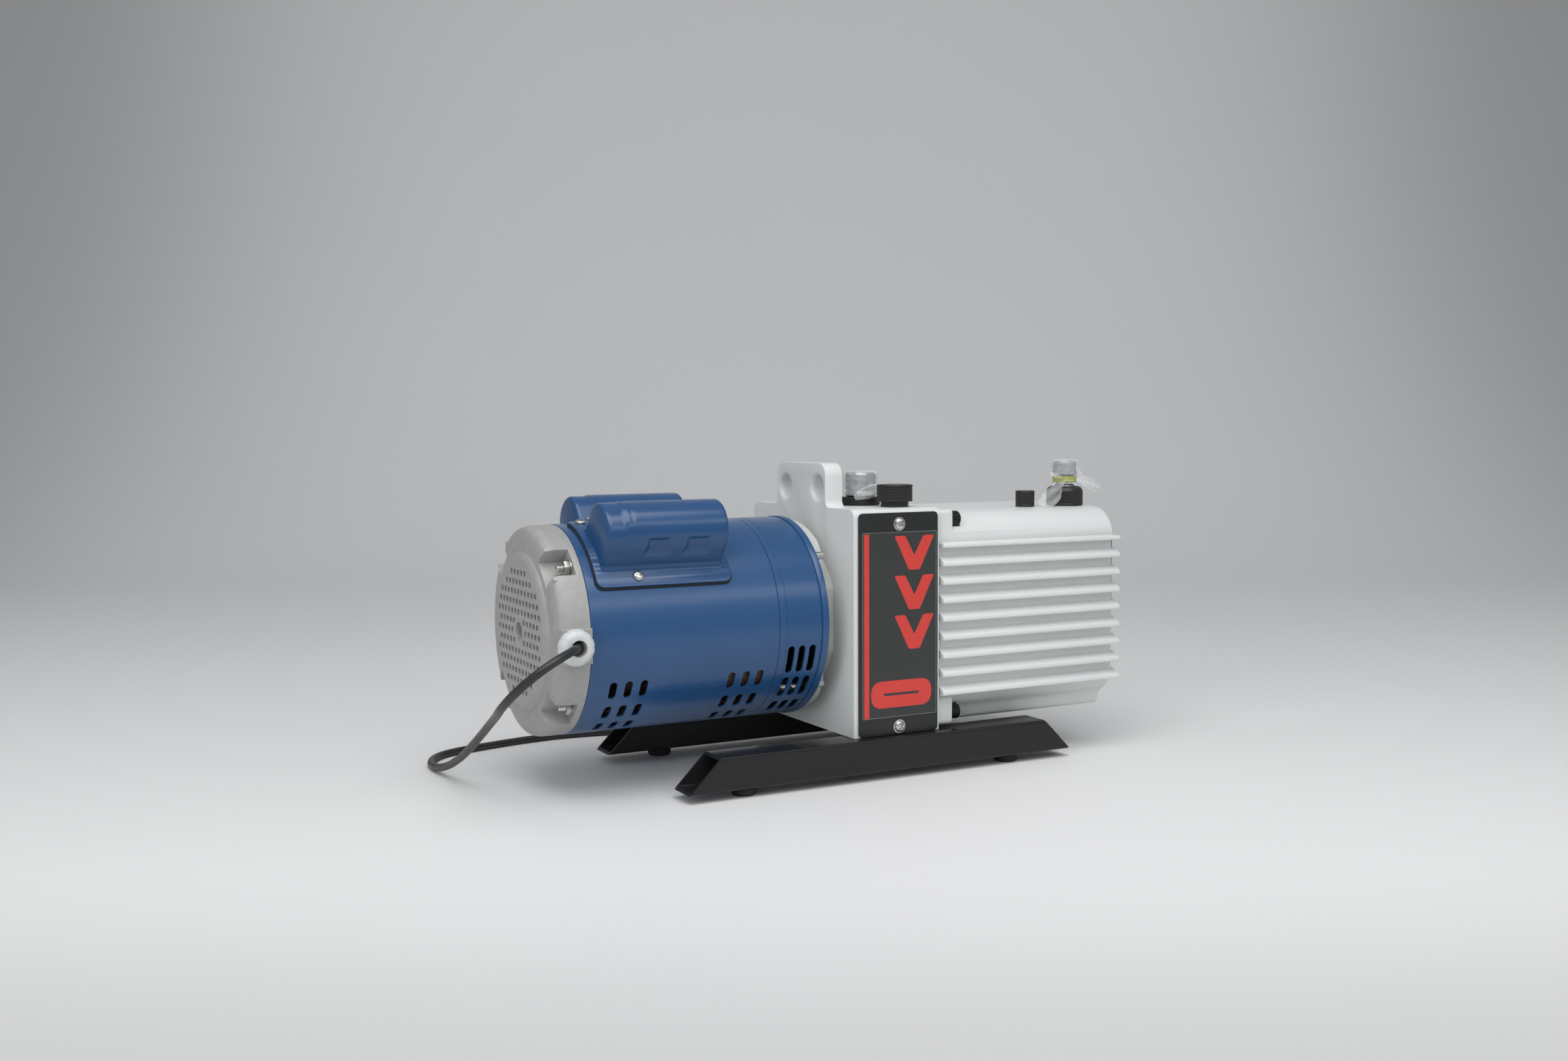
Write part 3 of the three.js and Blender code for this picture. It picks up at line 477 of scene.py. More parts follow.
plug_body = lathe(plug_profile, "x", (0, 0, 0), 72, plug_ripple)
for v in plug_body.verts:
    v.co = Vector((PLUG_X - v.co.x, PLUG_Y + v.co.y, PLUG_Z + v.co.z))
bmesh.ops.recalc_face_normals(plug_body, faces=plug_body.faces)
plug = piece("mains_plug", plug_body, BLACK_PLASTIC, stands_for="power_plug")
blades = []
for side in (-6.35, 6.35):
    blade = prism(soften([(PLUG_Y + side - 0.8, PLUG_Z - 3.2), (PLUG_Y + side + 0.8, PLUG_Z - 3.2),
                          (PLUG_Y + side + 0.8, PLUG_Z + 3.2), (PLUG_Y + side - 0.8, PLUG_Z + 3.2)], 0.3),
                          "x",
                  PLUG_X - 61, PLUG_X - 42, (0.5, 0))
    blades.append(blade)
earth = lathe([(0, -62), (1.6, -61.4), (2.4, -59.5), (2.4, -42), (0, -42)], "x",
              (PLUG_X, PLUG_Y, PLUG_Z - 8), 24)
plug_pins = piece("mains_plug_pins", merged(*blades, earth), STEEL)
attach(plug_pins, "pump_frame")


def tie_section():
    """A thin strap once round the coil's turns, at the side away from the pump."""
    loop, bm = soften([(31.2, 0.1), (44.9, 0.1), (44.9, 13.1), (31.2, 13.1)], 3.0, 5), bmesh.new()
    rings = []
    for u, v in loop:
        middle = Vector((38, 6.6))
        out = (Vector((u, v)) - middle).normalized() * 0.5
        corners = []
        for across, scale in ((-1.6, 0), (1.6, 0), (1.6, 1), (-1.6, 1)):
            r, h = u + out.x * scale, max(v + out.y * scale, 0.05)
            corners.append(bm.verts.new((COIL_X + r, COIL_Y + across, h)))
        rings.append(corners)
    for first, second in zip(rings, rings[1:] + rings[:1]):
        bridge(bm, first, second)
    bmesh.ops.recalc_face_normals(bm, faces=bm.faces)
    return bm


cord_tie = piece("cord_tie", tie_section(), BLACK_PLASTIC)

# ---- rails and feet ----
def rail(y):
    bm, half, wall = bmesh.new(), 15.0, 2.0
    outer = soften([(y - half, 7), (y + half, 7), (y + half, 34.1), (y - half, 34.1)], 2.6)
    inner = soften([(y - half + wall, 9), (y + half - wall, 9), (y + half - wall, 32.1),
                    (y - half + wall, 32.1)], 1.4)
    ends = []
    for section in (outer, inner):
        for left in (True, False):
            ends.append([bm.verts.new(((-149.8 + v - 7) if left else (210.6 - v + 7), u, v)) for u,
                         v in section])
    bridge(bm, ends[0], ends[1])
    bridge(bm, ends[2], ends[3])
    bridge(bm, ends[0], ends[2])
    bridge(bm, ends[1], ends[3])
    bmesh.ops.recalc_face_normals(bm, faces=bm.faces)
    return bm


for side, y in (("near", -83.6), ("far", 83.6)):
    piece(f"rail_{side}", rail(y), BLACK_COAT, stands_for=f"support_rail_{side}")
    for end, x in (("motor", -97), ("pump", 153)):
        foot = soften([(0, 0), (8.6, 0), (10, 1.6), (10, 6.7), (0, 6.7)], 0.6, closed=False)
        foot = [(max(r, 0), h) for r, h in foot]
        piece(f"foot_{side}_{end}", lathe(foot, "z", (x, y, 0), 48), RUBBER,
              stands_for=f"rubber_foot_{side}_{end}")


# ---- bracket housing ----
HOUSING_TOP, HOUSING_LENGTH = 219.2, 81.6
LUG = [(-76, 208.6), (76, 208.6), (-76, 46.1), (76, 46.1)]


def arc(cu, cv, r, start, end, steps=8):
    return [(cu + r * math.cos(math.radians(start + (end - start) * k / steps)),
             cv + r * math.sin(math.radians(start + (end - start) * k / steps))) for k in range(steps + 1)]


def housing():
    bm = bmesh.new()
    rightside = [(88, 34.4)] + arc(81, 212.2, 7, 0, 90)
    lug = arc(48, 225.2, 6, -90, -180) + arc(31.5, 245.1, 10.5, 0, 90)
    lug = lug + [(-u, v) for u, v in reversed(lug)]
    leftside = [(-u, v) for u, v in reversed(rightside)]
    front = [bm.verts.new((0, u, v)) for u, v in rightside + lug + leftside]
    n, m = len(rightside), len(lug)
    bm.faces.new(front)
    lug_back = [bm.verts.new((16, u, v)) for u, v in lug]
    bm.faces.new(lug_back)
    for a in range(m - 1):
        bm.faces.new((front[n + a], front[n + a + 1], lug_back[a + 1], lug_back[a]))
    back_right = [bm.verts.new((HOUSING_LENGTH, u, v)) for u, v in rightside]
    back_left = [bm.verts.new((HOUSING_LENGTH, u, v)) for u, v in leftside]
    for a in range(n - 1):
        bm.faces.new((front[a], front[a + 1], back_right[a + 1], back_right[a]))
        bm.faces.new((front[n + m + a], front[n + m + a + 1], back_left[a + 1], back_left[a]))
    bm.faces.new((front[n - 1], front[n], lug_back[0], lug_back[-1], front[n + m - 1], front[n + m],
                  back_left[0],
                  back_right[-1]))
    bm.faces.new(back_right + back_left)
    bm.faces.new((front[0], back_right[0], back_left[-1], front[-1]))
    bmesh.ops.recalc_face_normals(bm, faces=bm.faces)

    bm = bevelled(bm, 4.2, 5, 40)
    tools = [rod(50, -5, 66, "x", AXIS, 96),
             rod(14.5, 60, 90, "x", AXIS, 64)]
    flare = [(0, -2)] + [(9.75 + 3.2 * (1 - math.sin(math.radians(a))), 3.2 * (1 - math.cos(math.radians(a))))
                         for a in (0, 20, 40, 60, 80, 90)]
    flare = [(0, -3), (13.2, -3)] + flare[1:]
    flare = flare + [(r, 16 - h) for r, h in reversed(flare)]
    for y in (-28, 28):
        tools.append(lathe(flare, "x", (0, y, 235.1), 64))
    tools.append(rod(12, 197, 224, "z", (47, -20, 0), 64))
    tools.append(rod(5.3, 205, 224, "z", (56, -60, 0), 40))
    for z in (206.8, 41.1):
        tools.append(rod(2.6, -95, -76, "y", (42, 0, z), 32))
    for y, z in LUG:
        tools.append(rod(4.3, 64, 90, "x", (0, y, z), 32))
    return combine(bm, merged(*tools))


piece("housing_body", housing(), WHITE, stands_for="bracket_housing", angle=50)


# ---- oil casing ----
def casing_outline():
    half = [(57, 214.3, 6)] + arc(57, 186.3, 28, 70, 14, 6) + [(83.4, 189.3, 1.2), (83, 186, 1),
            (83, 62.2, 1.5),
                                                               (74.6, 52.5, 3), (67.2, 48.3, 3), (64.5,
                                                                       38.1, 3),
                                                               (60, 35.8, 2)]
    return soften(half + [(-p[0], *p[1:]) for p in reversed(half)], 0.0, 4)


def cooling_fins():
    bars = []
    for fin in range(9):
        under = 185.2 - fin * 15.375
        high = 4.4 if fin == 0 else 8.4
        shape = soften([(82, under), (91.8, under + 0.2, 1.5), (91.4, under + 4.3, 1.9),
                        (84.4, under + high - 0.6, 1.5),
                        (82, under + high + 0.6)], 0.0, 5)
        for sign in (1, -1):
            bars.append(prism([(sign * u, v) for u, v in shape], "x", 84, 270.6, (0.5, 0.6)))
    return merged(*bars)


def casing():
    bm = prism(casing_outline(), "x", 84, 268, (0.8, 1.0))
    for low, high in ((184.2, 216.6), (36.6, 60.6)):
        pad = soften([(-83, low), (83, low), (83, high), (-83, high)], 3.5)
        bm = combine(bm, prism(pad, "x", 84, 99, (0.8, 1.6)), "UNION")
    cavity = [(54, 208), (78, 186), (78, 66), (58, 46), (56, 41)]
    cavity = cavity + [(-u, v) for u, v in reversed(cavity)]
    tools = [prism(cavity, "x", 79, 262)]
    for y, z in LUG:
        tools.append(lathe([(0, 79), (4.3, 79), (4.3, 99.5), (7.5, 99.5), (7.5, 108.4), (0, 108.4)], "x",
                           (0, y, z), 40))
    bm = combine(bm, tools[0])
    bm = combine(bm, merged(*tools[1:]))
    holes = [rod(5.3, 195, 220, "z", (205, -40, 0), 40),
             rod(9.3, 195, 220, "z", (249, -40, 0), 48),
             rod(15.3, 255, 275, "x", (0, -30, 85), 64),
             rod(5.3, 255, 275, "x", (0, 0, 52), 40)]
    return merged(combine(bm, merged(*holes)), cooling_fins())


piece("casing_body", casing(), WHITE, stands_for="oil_casing", angle=40)
gasket = [(57, 213), (78, 201.5), (82.4, 189), (82.4, 61), (74, 52), (64, 40), (58, 37)]
gasket = soften(gasket + [(-u, v) for u, v in reversed(gasket)], 4)
window = [(50, 203), (72, 188), (72, 64), (56, 49), (52, 46)]
window = prism(window + [(-u, v) for u, v in reversed(window)], "x", 78, 88)
bolt_ways = [rod(4.6, 78, 88, "x", (0, y, z), 32) for y, z in LUG]
gasket_bm = combine(combine(prism(gasket, "x", 81.9, 83.7), window), merged(*bolt_ways))
piece("gasket_plate", gasket_bm, RUBBER, stands_for="casing_gasket")


# ---- screws and bolts ----
def hexagon(radius, turned=0.0):
    return [(radius * math.cos(math.radians(60 * k + turned)),
             radius * math.sin(math.radians(60 * k + turned)))
            for k in range(6)]


for i, (y, z) in enumerate(LUG):
    def bolt_ripple(j, k, radius, along):
        return -0.3 if radius > 6.4 and 100.3 < along < 106 and k % 4 in (0, 1) else 0.0
    head = lathe([(0, 67), (3.7, 67), (4, 68), (4, 99.2), (6.1, 99.3), (6.5, 99.8), (6.5, 100.4),
                  (6.5, 105.9), (6.5, 106.6),
                  (5.9, 107.5), (3.6, 107.5), (3.4, 107.2), (3.4, 103.5), (0, 102.8)], "x", (0, y, z), 96,
                  bolt_ripple)
    piece(f"socket_bolt_{i + 1}", head, BLACK_COAT, stands_for=f"casing_bolt_{i + 1}")


def cross_screw(head, shank, depth, cross):
    """A pan head with a rounded crown and a cross recess, seated at the origin, pointing along +Y."""
    crown = [(0, -2.7)] + [(head * math.sin(math.radians(a)),
                            -0.15 - 2.55 * math.cos(math.radians(a)) ** 0.55)
                           for a in (15, 28, 40, 52, 64, 75, 84)] + [(head, -0.6), (head, -0.15), (shank,
                               -0.15),
                                                                   (shank, depth - 1), (shank * 0.6, depth),
                                                                   (0, depth)]
    body = lathe(crown, "y", (0, 0, 0), 48)
    reach, half = head * 0.58, cross / 2
    plus = [(-half, -reach), (half, -reach), (half, -half), (reach, -half), (reach, half), (half, half),
            (half, reach),
            (-half, reach), (-half, half), (-reach, half), (-reach, -half), (-half, -half)]
    return combine(body, prism(plus, "y", -4, -1.3))


for i, z in enumerate((206.8, 41.1)):
    screw = cross_screw(4.6, 2.3, 9, 1.3)
    bmesh.ops.rotate(screw, cent=(0, 0, 0), matrix=Matrix.Rotation(0.6, 3, "Y"), verts=screw.verts)
    name = ("upper", "lower")[i]
    piece(f"plate_screw_{name}", shift(screw, 42, -89.8, z), ZINC, stands_for=f"label_screw_{name}")
    washer = lathe(soften([(2.7, -0.14), (5.6, -0.14), (5.6, 0.0), (2.7, 0.0)], 0.03), "y", (42, -89.8, z),
                   48)
    piece(f"plate_washer_{name}", washer, ZINC)


# ---- label plate ----
plate = prism(soften([(3.8, 34.6), (79.3, 34.6), (79.3, 216.1), (3.8, 216.1)], 4.5, 6), "y", -89.8, -88.3,
              (0.35, 0.2))
plate = combine(plate, merged(*[rod(2.6, -95, -84, "y", (42, 0, z), 32)
                                for z in (206.8, 41.1)]))
piece("plate_body", plate, PLATE, stands_for="label_plate")


def flat_shape(name, outline, look, depth, rise):
    """A thin printed or stuck-on shape on the plate."""
    return piece(name, prism(outline, "y", -89.8 - depth - rise, -89.8 - depth + 0.02), look)


def frame_line(x0, x1, z0, z1, width):
    outer = prism([(x0, z0), (x1, z0), (x1, z1), (x0, z1)], "y", -90.02, -89.85)
    inner = prism([(x0 + width, z0 + width), (x1 - width, z0 + width), (x1 - width, z1 - width),
                   (x0 + width, z1 - width)],
                  "y", -91, -89)
    return combine(outer, inner)


flat_shape("sticker_base", soften([(7.2, 49.6), (77.5, 49.6), (77.5, 200.1), (7.2, 200.1)], 0.8), STICKER,
           0.0, 0.12)
piece("sticker_rim", frame_line(7.0, 77.7, 49.4, 200.3, 0.35), STICKER_RIM)
flat_shape("sticker_bar", [(8.5, 49.9), (13.2, 49.9), (13.2, 199.2), (8.5, 199.2)], RED, 0.14, 0.06)
for i, z in enumerate((197.0, 164.6, 132.2)):
    chevron = [(37.2, z), (47.5, z), (56.2, z - 16), (65, z), (75.3, z), (61.5, z - 28), (51, z - 28)]
    flat_shape(f"sticker_chevron_{i + 1}", soften(chevron, 1.6), RED, 0.14, 0.06)
flat_shape("sticker_pill", soften([(15, 57.2), (72.7, 57.2), (72.7, 79.2), (15, 79.2)], 10.5, 10), RED,
           0.14, 0.06)
flat_shape("sticker_dash", soften([(27, 67.2), (60.7, 67.2), (60.7, 69.2), (27, 69.2)], 0.9), STICKER, 0.2,
           0.05)


# ---- ports and knobs on top ----
def knurled(name, profile, place, z, body, stands_for, sides, depth, low, high, band=1.05):
    """A turned knob whose side wall between two heights carries the grid."""
    outline = []
    for (r0, h0), (r1, h1) in zip(profile, profile[1:]):
        outline.append((r0, h0))
        if abs(r0 - r1) < 1e-6 and h1 - h0 > 4 * band:
            steps = int((h1 - h0) / (band / 2))
            outline += [(r0, h0 + (h1 - h0) * k / steps) for k in range(1, steps)]
    outline.append(profile[-1])
    rows = [i for i, (r, h) in enumerate(outline) if low < h < high and r > 7]

    def grid(j, k, radius, along):
        if j not in rows:
            return 0.0
        return -depth if (j % 4 in (0, 1) or k % 4 in (0, 1)) else 0.0
    return piece(name, lathe(outline, "z", (*place, z), sides, grid), BLACK_PLASTIC, body, stands_for,
                 angle=30)


knurled("inlet_ring_nut", [(12.2, 0.3), (15.9, 0.3), (16.5, 0.9), (16.5, 6.3), (15.9, 7.0), (13.2, 7.0),
                           (12.2, 6.2)],
        (47, -20), HOUSING_TOP, "intake_nut", "inlet_nut", 288, 0.3, 1.4, 5.8)
knurled("ballast_grip", [(0, -12), (5, -12), (5, 0.3), (11.5, 0.3), (11.5, 4.0), (12.6, 4.5), (14.4, 4.5),
                         (15, 5.1),
                         (15, 17.6), (14.3, 18.4), (12.8, 18.4), (12.4, 18.0), (0, 18.0)],
        (56, -60), HOUSING_TOP, "ballast_knob", "gas_ballast_knob", 288, 0.42, 5.6, 17.2)
knurled("filler_grip", [(0, -12), (5, -12), (5, 0.3), (8.1, 0.3), (8.5, 0.7), (8.5, 13.4), (7.9, 14.2),
                        (6.4, 14.2),
                        (6.1, 13.9), (0, 13.9)],
        (205, -40), 214.3, "oil_filler", "filler_plug", 160, 0.36, 1.4, 12.8)
knurled("exhaust_ring_nut", [(9.4, 0.3), (15.6, 0.3), (16.4, 1.1), (16.4, 13.2), (14.6, 16.2), (12.6, 17.3),
                             (9.4, 17.3)],
        (249, -40), 214.3, "outlet_nut", "exhaust_nut", 304, 0.4, 1.8, 12.8)

inlet_steel = [(8, -20), (11.7, -20), (11.7, 7.3), (12.5, 8), (13, 8.6), (13, 11), (12.2, 11.6),
               (12.2, 12.6), (13, 13.2),
               (13, 25.6), (12.4, 27), (11.6, 27.8), (8.6, 27.8), (8, 27)]
piece("inlet_flange", lathe(soften(inlet_steel, 0.5, 3), "z", (47, -20, HOUSING_TOP), 96), STEEL,
      stands_for="inlet_port")
exhaust_steel = [(5.5, -12), (9, -12), (9, 17.8), (7.2, 20), (7.2, 27), (10.4, 28), (10.4, 39), (9.4, 40),
                 (6.2, 40),
                 (5.5, 39)]
piece("exhaust_nozzle", lathe(soften(exhaust_steel, 0.5, 3), "z", (249, -40, 214.3), 96), STEEL,
      stands_for="exhaust_port")


def band_ripple(j, k, radius, along):
    return 0.35 * noise.noise(Vector((math.cos(math.tau * k / 72) * 2.2, math.sin(math.tau * k / 72) * 2.2,
                                      along * 0.3)))


band_profile = [(9.6, 21.2), (10.5, 21.2), (10.8, 22.2), (10.35, 23.4), (10.8, 24.6), (10.5, 26.2),
                (9.6, 26.4)]
piece("rubber_band", lathe(band_profile, "z", (249, -40, 214.3), 72, band_ripple), BAND,
      stands_for="film_band")


def crumple(x, y, z, size, seed):
    """Creased film: sharp folds between flat facets."""
    p = Vector((x * 0.16 + seed, y * 0.16, z * 0.16))
    ridge = 1 - 2 * abs(noise.noise(p)) * 1.6
    fine = 1 - 2 * abs(noise.noise(p * 2.3 + Vector((7, 3, 1)))) * 1.5
    return size * (0.65 * ridge + 0.35 * fine)


def film_wrap(profile, place, z, size, seed, sides=84):
    """A film tied over a port: a skin of revolution with creases."""
    bm, rings = bmesh.new(), []
    for j, (radius, along) in enumerate(profile):
        ring = []
        for k in range(sides if radius > 0.01 else 1):
            a = math.tau * k / sides
            x, y = radius * math.cos(a), radius * math.sin(a)
            grow = crumple(x, y, along, size * min(1.0, radius / 5), seed)
            scale = (radius + grow) / radius if radius > 0.01 else 1
            lift = crumple(y, along, x, size * 0.35, seed + 9) if j else 0
            ring.append(bm.verts.new((place[0] + x * scale, place[1] + y * scale, z + along + lift)))
        rings.append(ring)
    for first, second in zip(rings, rings[1:]):
        bridge(bm, first, second)
    return bm


def dense(points, spacing=0.9):
    out = []
    for (r0, h0), (r1, h1) in zip(points, points[1:]):
        steps = max(1, int(math.hypot(r1 - r0, h1 - h0) / spacing))
        out += [(r0 + (r1 - r0) * k / steps, h0 + (h1 - h0) * k / steps) for k in range(steps)]
    return out + [points[-1]]


def film_tail(points, widths, seed, fold=3.0):
    """A loose twisted end of film along a line of points."""
    bm, rows = bmesh.new(), []
    line = smooth_line(points, 1.2)
    count, across = len(line), 9
    for i, middle in enumerate(line):
        t = i / (count - 1)
        ahead = (line[min(i + 1, count - 1)] - line[max(i - 1, 0)]).normalized()
        side = ahead.cross(Vector((0, 0, 1))).normalized()
        side = side * math.cos(0.9 + 1.4 * t) + ahead.cross(side) * math.sin(0.9 + 1.4 * t)
        normal = ahead.cross(side)
        place = t * (len(widths) - 1)
        whole = min(int(place), len(widths) - 2)
        width = widths[whole] + (widths[whole + 1] - widths[whole]) * (place - whole)
        row = []
        for k in range(across):
            u = k / (across - 1) - 0.5
            crease = fold * 0.35 * math.sin(u * 9 + seed + 2.2 * t) * width / 12
            wave = crumple(middle.x + u * width, middle.y, middle.z, 0.7, seed)
            row.append(bm.verts.new(middle + side * u * width + normal * (crease + wave)))
        rows.append(row)
    for first, second in zip(rows, rows[1:]):
        for k in range(across - 1):
            bm.faces.new((first[k], first[k + 1], second[k + 1], second[k]))
    return bm


def cloth_area(obj):
    return sum(face.area for face in obj.data.polygons)


inlet_skin = film_wrap(dense([(14.0, 8.2), (15.0, 9.5), (14.6, 18), (14.9, 27), (13.6, 29.2), (0.02, 29.6)]),
                       (47, -20), HOUSING_TOP, 0.8, 2.0)
inlet_flap = film_tail([(58, -33, 229), (50, -37.5, 232), (41, -37, 229.5), (33, -33.5, 226)],
                       [7, 12, 10, 5], 4.0)
inlet_wrap = piece("inlet_wrap", merged(inlet_skin, inlet_flap), FILM, stands_for="inlet_film", angle=25)
side = math.sqrt(cloth_area(inlet_wrap))

exhaust_skin = film_wrap(dense([(11.4, 19.5), (9.6, 21.5), (9.3, 26), (11.6, 28.6), (11.9, 38),
                                (11.0, 41.2), (0.02, 41.6)]),
                         (249, -40), 214.3, 0.7, 5.0)
tails = [film_tail([(243, -50, 237.5), (234, -54, 232), (226, -54, 225), (219, -52, 219), (213, -50, 217)],
                   [5, 9, 14, 15, 6], 1.0),
         film_tail([(254, -50, 238.5), (262, -52, 236.5), (271, -52, 232), (279, -50, 229), (287, -48, 227)],
                   [4, 9, 11, 7, 2], 3.0),
         film_tail([(243, -46, 238), (237, -45, 241), (230, -43, 243.5)], [3, 5, 3], 6.0),
         film_tail([(252, -52, 251), (256, -52.5, 244), (262, -51, 238)], [2.5, 4, 3], 8.0)]
exhaust_wrap = piece("exhaust_wrap", merged(exhaust_skin, *tails), FILM, stands_for="exhaust_film", angle=25)
side = math.sqrt(cloth_area(exhaust_wrap))

# ---- end face of the casing ----
glass_profile = [(0, 258), (14.9, 258), (14.9, 268.3), (17, 268.3), (17, 271), (15.8, 272.5), (13.2, 272.5),
                 (12.6, 271.4)]
bezel = glass_profile + [(12.6, 266.5), (0, 266.5)]
piece("sight_bezel", lathe(bezel, "x", (0, -30, 85), 72), BLACK_COAT)
piece("sight_window", lathe([(0, 267), (12.4, 267), (12.4, 270.6), (11, 271.3), (0, 272.2)], "x",
                            (0, -30, 85), 72), GLASS,
      stands_for="sight_glass")
drain_head = prism([(u, v + 52) for u, v in hexagon(8.0)], "x", 268.3, 276, (0.3, 0.8))
drain = merged(drain_head, lathe([(0, 258), (4.6, 258), (5, 259), (5, 268.6), (0, 268.6)], "x", (0, 0, 52),
                                 48))
piece("drain_bolt", drain, BLACK_COAT, body="oil_drain", stands_for="drain_plug")


# ---- motor shell and shroud ----
def vent_slots(columns, rows, width):
    tools = []
    for x in columns:
        for angle, length in rows:
            for sign in (1, -1):
                slot = prism([(x + u, AXIS_Z + v) for u, v in pill(length, width)], "y", -90, -76)
                turn(slot, angle)
                tools.append(slot if sign > 0 else flipped(slot))
    return merged(*tools)


SHELL_ROWS = ((29, 15.5), (45.5, 15.5), (62, 15.5))
COVERS = {"near": (-207.0, -1), "far": (-186.0, 1)}


def cover_screws(start):
    return ((start + 3, 11.5), (start + 28, 57.5))


def screw_ways(radius):
    """The holes of the capacitor covers' screws."""
    tools = []
    for start, sign in COVERS.values():
        for x, angle in cover_screws(start):
            tools.append(turn(rod(radius, 198, 223, "z", (x, 0, 0), 24), -sign * angle))
    return merged(*tools)


shell = lathe([(81, -220.4), (82.2, -220.4), (82.5, -220.1), (82.5, -64.0), (82.2, -63.7), (81, -63.7)],
              sides=192)
shell = combine(shell, vent_slots((-200.5, -188, -175.5, -102, -89.5, -77.5), SHELL_ROWS, 6))
shell = combine(shell, screw_ways(2.4))
piece("shell_barrel", shell, BLUE, stands_for="motor_shell", angle=30)

shroud = [(81, -63.4), (82.2, -63.4), (82.5, -63.1), (82.5, -57.6), (82.25, -57.3), (82.25, -56.7),
          (82.5, -56.4),
          (82.5, -26.6), (82.0, -26.1), (82.0, -25.5), (83.0, -25.1), (83.2, -24.7), (83.2, -20.0), (82.8,
                  -19.4),
          (79.2, -19.4), (78.5, -20), (78.5, -20.9), (81, -22.4)]
shroud = combine(lathe(shroud, sides=192), vent_slots((-52.5, -43, -33.5),
        ((19, 23.5), (38, 22), (56.5, 18)), 6))
piece("shroud_barrel", shroud, BLUE, stands_for="fan_shroud", angle=30)

flange = lathe([(50, -19.1), (79.4, -19.1), (80, -18.5), (80, -10.9), (79.2, -10.1), (62.5, -10.1),
                (61.5, -9.1),
                (61.5, -0.3), (50, -0.3)], sides=160)
sides = soften([(56, 128 - 48), (56, 128 + 48), (50, 128 + 61), (30, 128 + 79), (-30, 128 + 79),
                (-50, 128 + 61),
                (-56, 128 + 48), (-56, 128 - 48), (-50, 128 - 61), (-30, 128 - 79), (30, 128 - 79), (50,
                128 - 61)], 9)
studs = [turn(rod(3.4, -30, -7, "x", (0, -74, AXIS_Z), 24), a) for a in (45, 135, 225, 315)]
flange = combine(combine(flange, prism(sides, "x", -25, 5), "INTERSECT"), merged(*studs))
piece("flange_casting", flange, PALE_CAST, stands_for="motor_flange", angle=35)
# A black disc inside the shroud behind the vent slots: partly the motor's end shield, partly painted shade
# that makes the slots read dark.
guard = lathe([(26, -24.5), (80.4, -24.5), (80.4, -23.5), (26, -23.5)], sides=96)
piece("fan_guard_shade_disc", guard, BLACK_PLASTIC)


# ---- end bell ----
def end_bell():
    section = [(7.5, -249.5), (57.0, -249.5, 1), (61.2, -247.9, 2), (62.3, -245.8, 1.2), (74.2, -245.8, 1),
               (80.4, -243.9, 3.5),
               (82.2, -238, 2), (82.2, -220.7, 0.3), (78.6, -220.7), (78.6, -239, 2), (74, -242), (57,
                       -242), (56, -248.2),
               (21, -248.2), (21, -229), (17.8, -229), (17.8, -243), (7.5, -243)]
    bm = lathe(soften(section, 0.0, 4), sides=160)
    for angle in (45, 135, 225, 315):
        bm = combine(bm, turn(slab(-244, -222, -80, -62, AXIS_Z - 16, AXIS_Z + 16), angle), "UNION")
    bm = combine(bm, prism([(-245.5, 112.8), (-222, 112.8), (-222, 138.8), (-245.5, 138.8)], "y", -89, -76,
                           (0.8, 0)), "UNION")
    pockets = []
    for angle in (45, 135, 225, 315):
        shape = soften([(-255, 115.5), (-226, 115.5), (-226, 140.5), (-255, 140.5)], 0.1)
        pockets.append(turn(prism(shape, "y", -95, -67), angle))
    bm = combine(bm, merged(*pockets))
    ways = [turn(rod(3.4, -230, -210, "x", (0, -74, AXIS_Z), 24), a)
            for a in (45, 135, 225, 315)]
    ways.append(rod(7.5, -100, -70, "y", (-235.8, 0, 125.8), 48))
    bm = combine(bm, merged(*ways))
    bmesh.ops.dissolve_limit(bm, angle_limit=math.radians(1), verts=bm.verts, edges=bm.edges)
    bm = bevelled(bm, 0.9, 3, 40)
    grille = []
    for row in range(-7, 8):
        v = row * 7.7
        shift_u = 0.0 if row % 2 == 0 else 4.0
        for column in range(-7, 8):
            u = column * 8.0 + shift_u
            reach = math.hypot(abs(u) + 2.1, abs(v) + 2.2)
            if reach > 54.5 or math.hypot(u, v) < 13 or (abs(row) <= 1 and abs(u) < 12):
                continue
            hole = soften([(u - 2.25, v - 2.1), (u + 2.25, v - 2.1), (u + 2.25, v + 2.1),
                           (u - 2.25, v + 2.1)], 0.9, 3)
            grille.append(prism([(a, b + AXIS_Z) for a, b in hole], "x", -252, -240))
    return combine(bm, merged(*grille))


piece("bell_casting", end_bell(), CAST, stands_for="end_bell", angle=42)
# Painted shade: a thin black disc behind the grille, so that its holes read dark with the shade inside the
# bell.
shade_disc = lathe([(22.5, -244.5), (55.5, -244.5), (55.5, -243.6), (22.5, -243.6)], sides=96)
piece("grille_shade_disc", shade_disc, BLACK_PLASTIC)
for i, angle in enumerate((45, 135, 225, 315)):
    stud_profile = [(0, -237), (2.4, -237), (3.0, -236.3)]
    stud_profile += [(3.0 if k % 2 else 2.65, -236.3 + 0.5 * k) for k in range(1, 21)]
    stud_profile += [(3.0, -225), (3.0, -9), (0, -9)]
    stud = lathe(stud_profile, "x", (0, -74, AXIS_Z), 40)
    nut = prism([(u - 74, v + AXIS_Z) for u, v in hexagon(5.8, 30)], "x", -231.3, -227.2, (0.5, 0.5))
    washer = lathe([(3.1, -227.1), (6.4, -227.1), (6.4, -226.3), (3.1, -226.3)], "x", (0, -74, AXIS_Z), 48)
    piece(f"stud_{i + 1}", turn(merged(stud, nut, washer), angle), ZINC, stands_for=f"through_bolt_{i + 1}",
          angle=30)

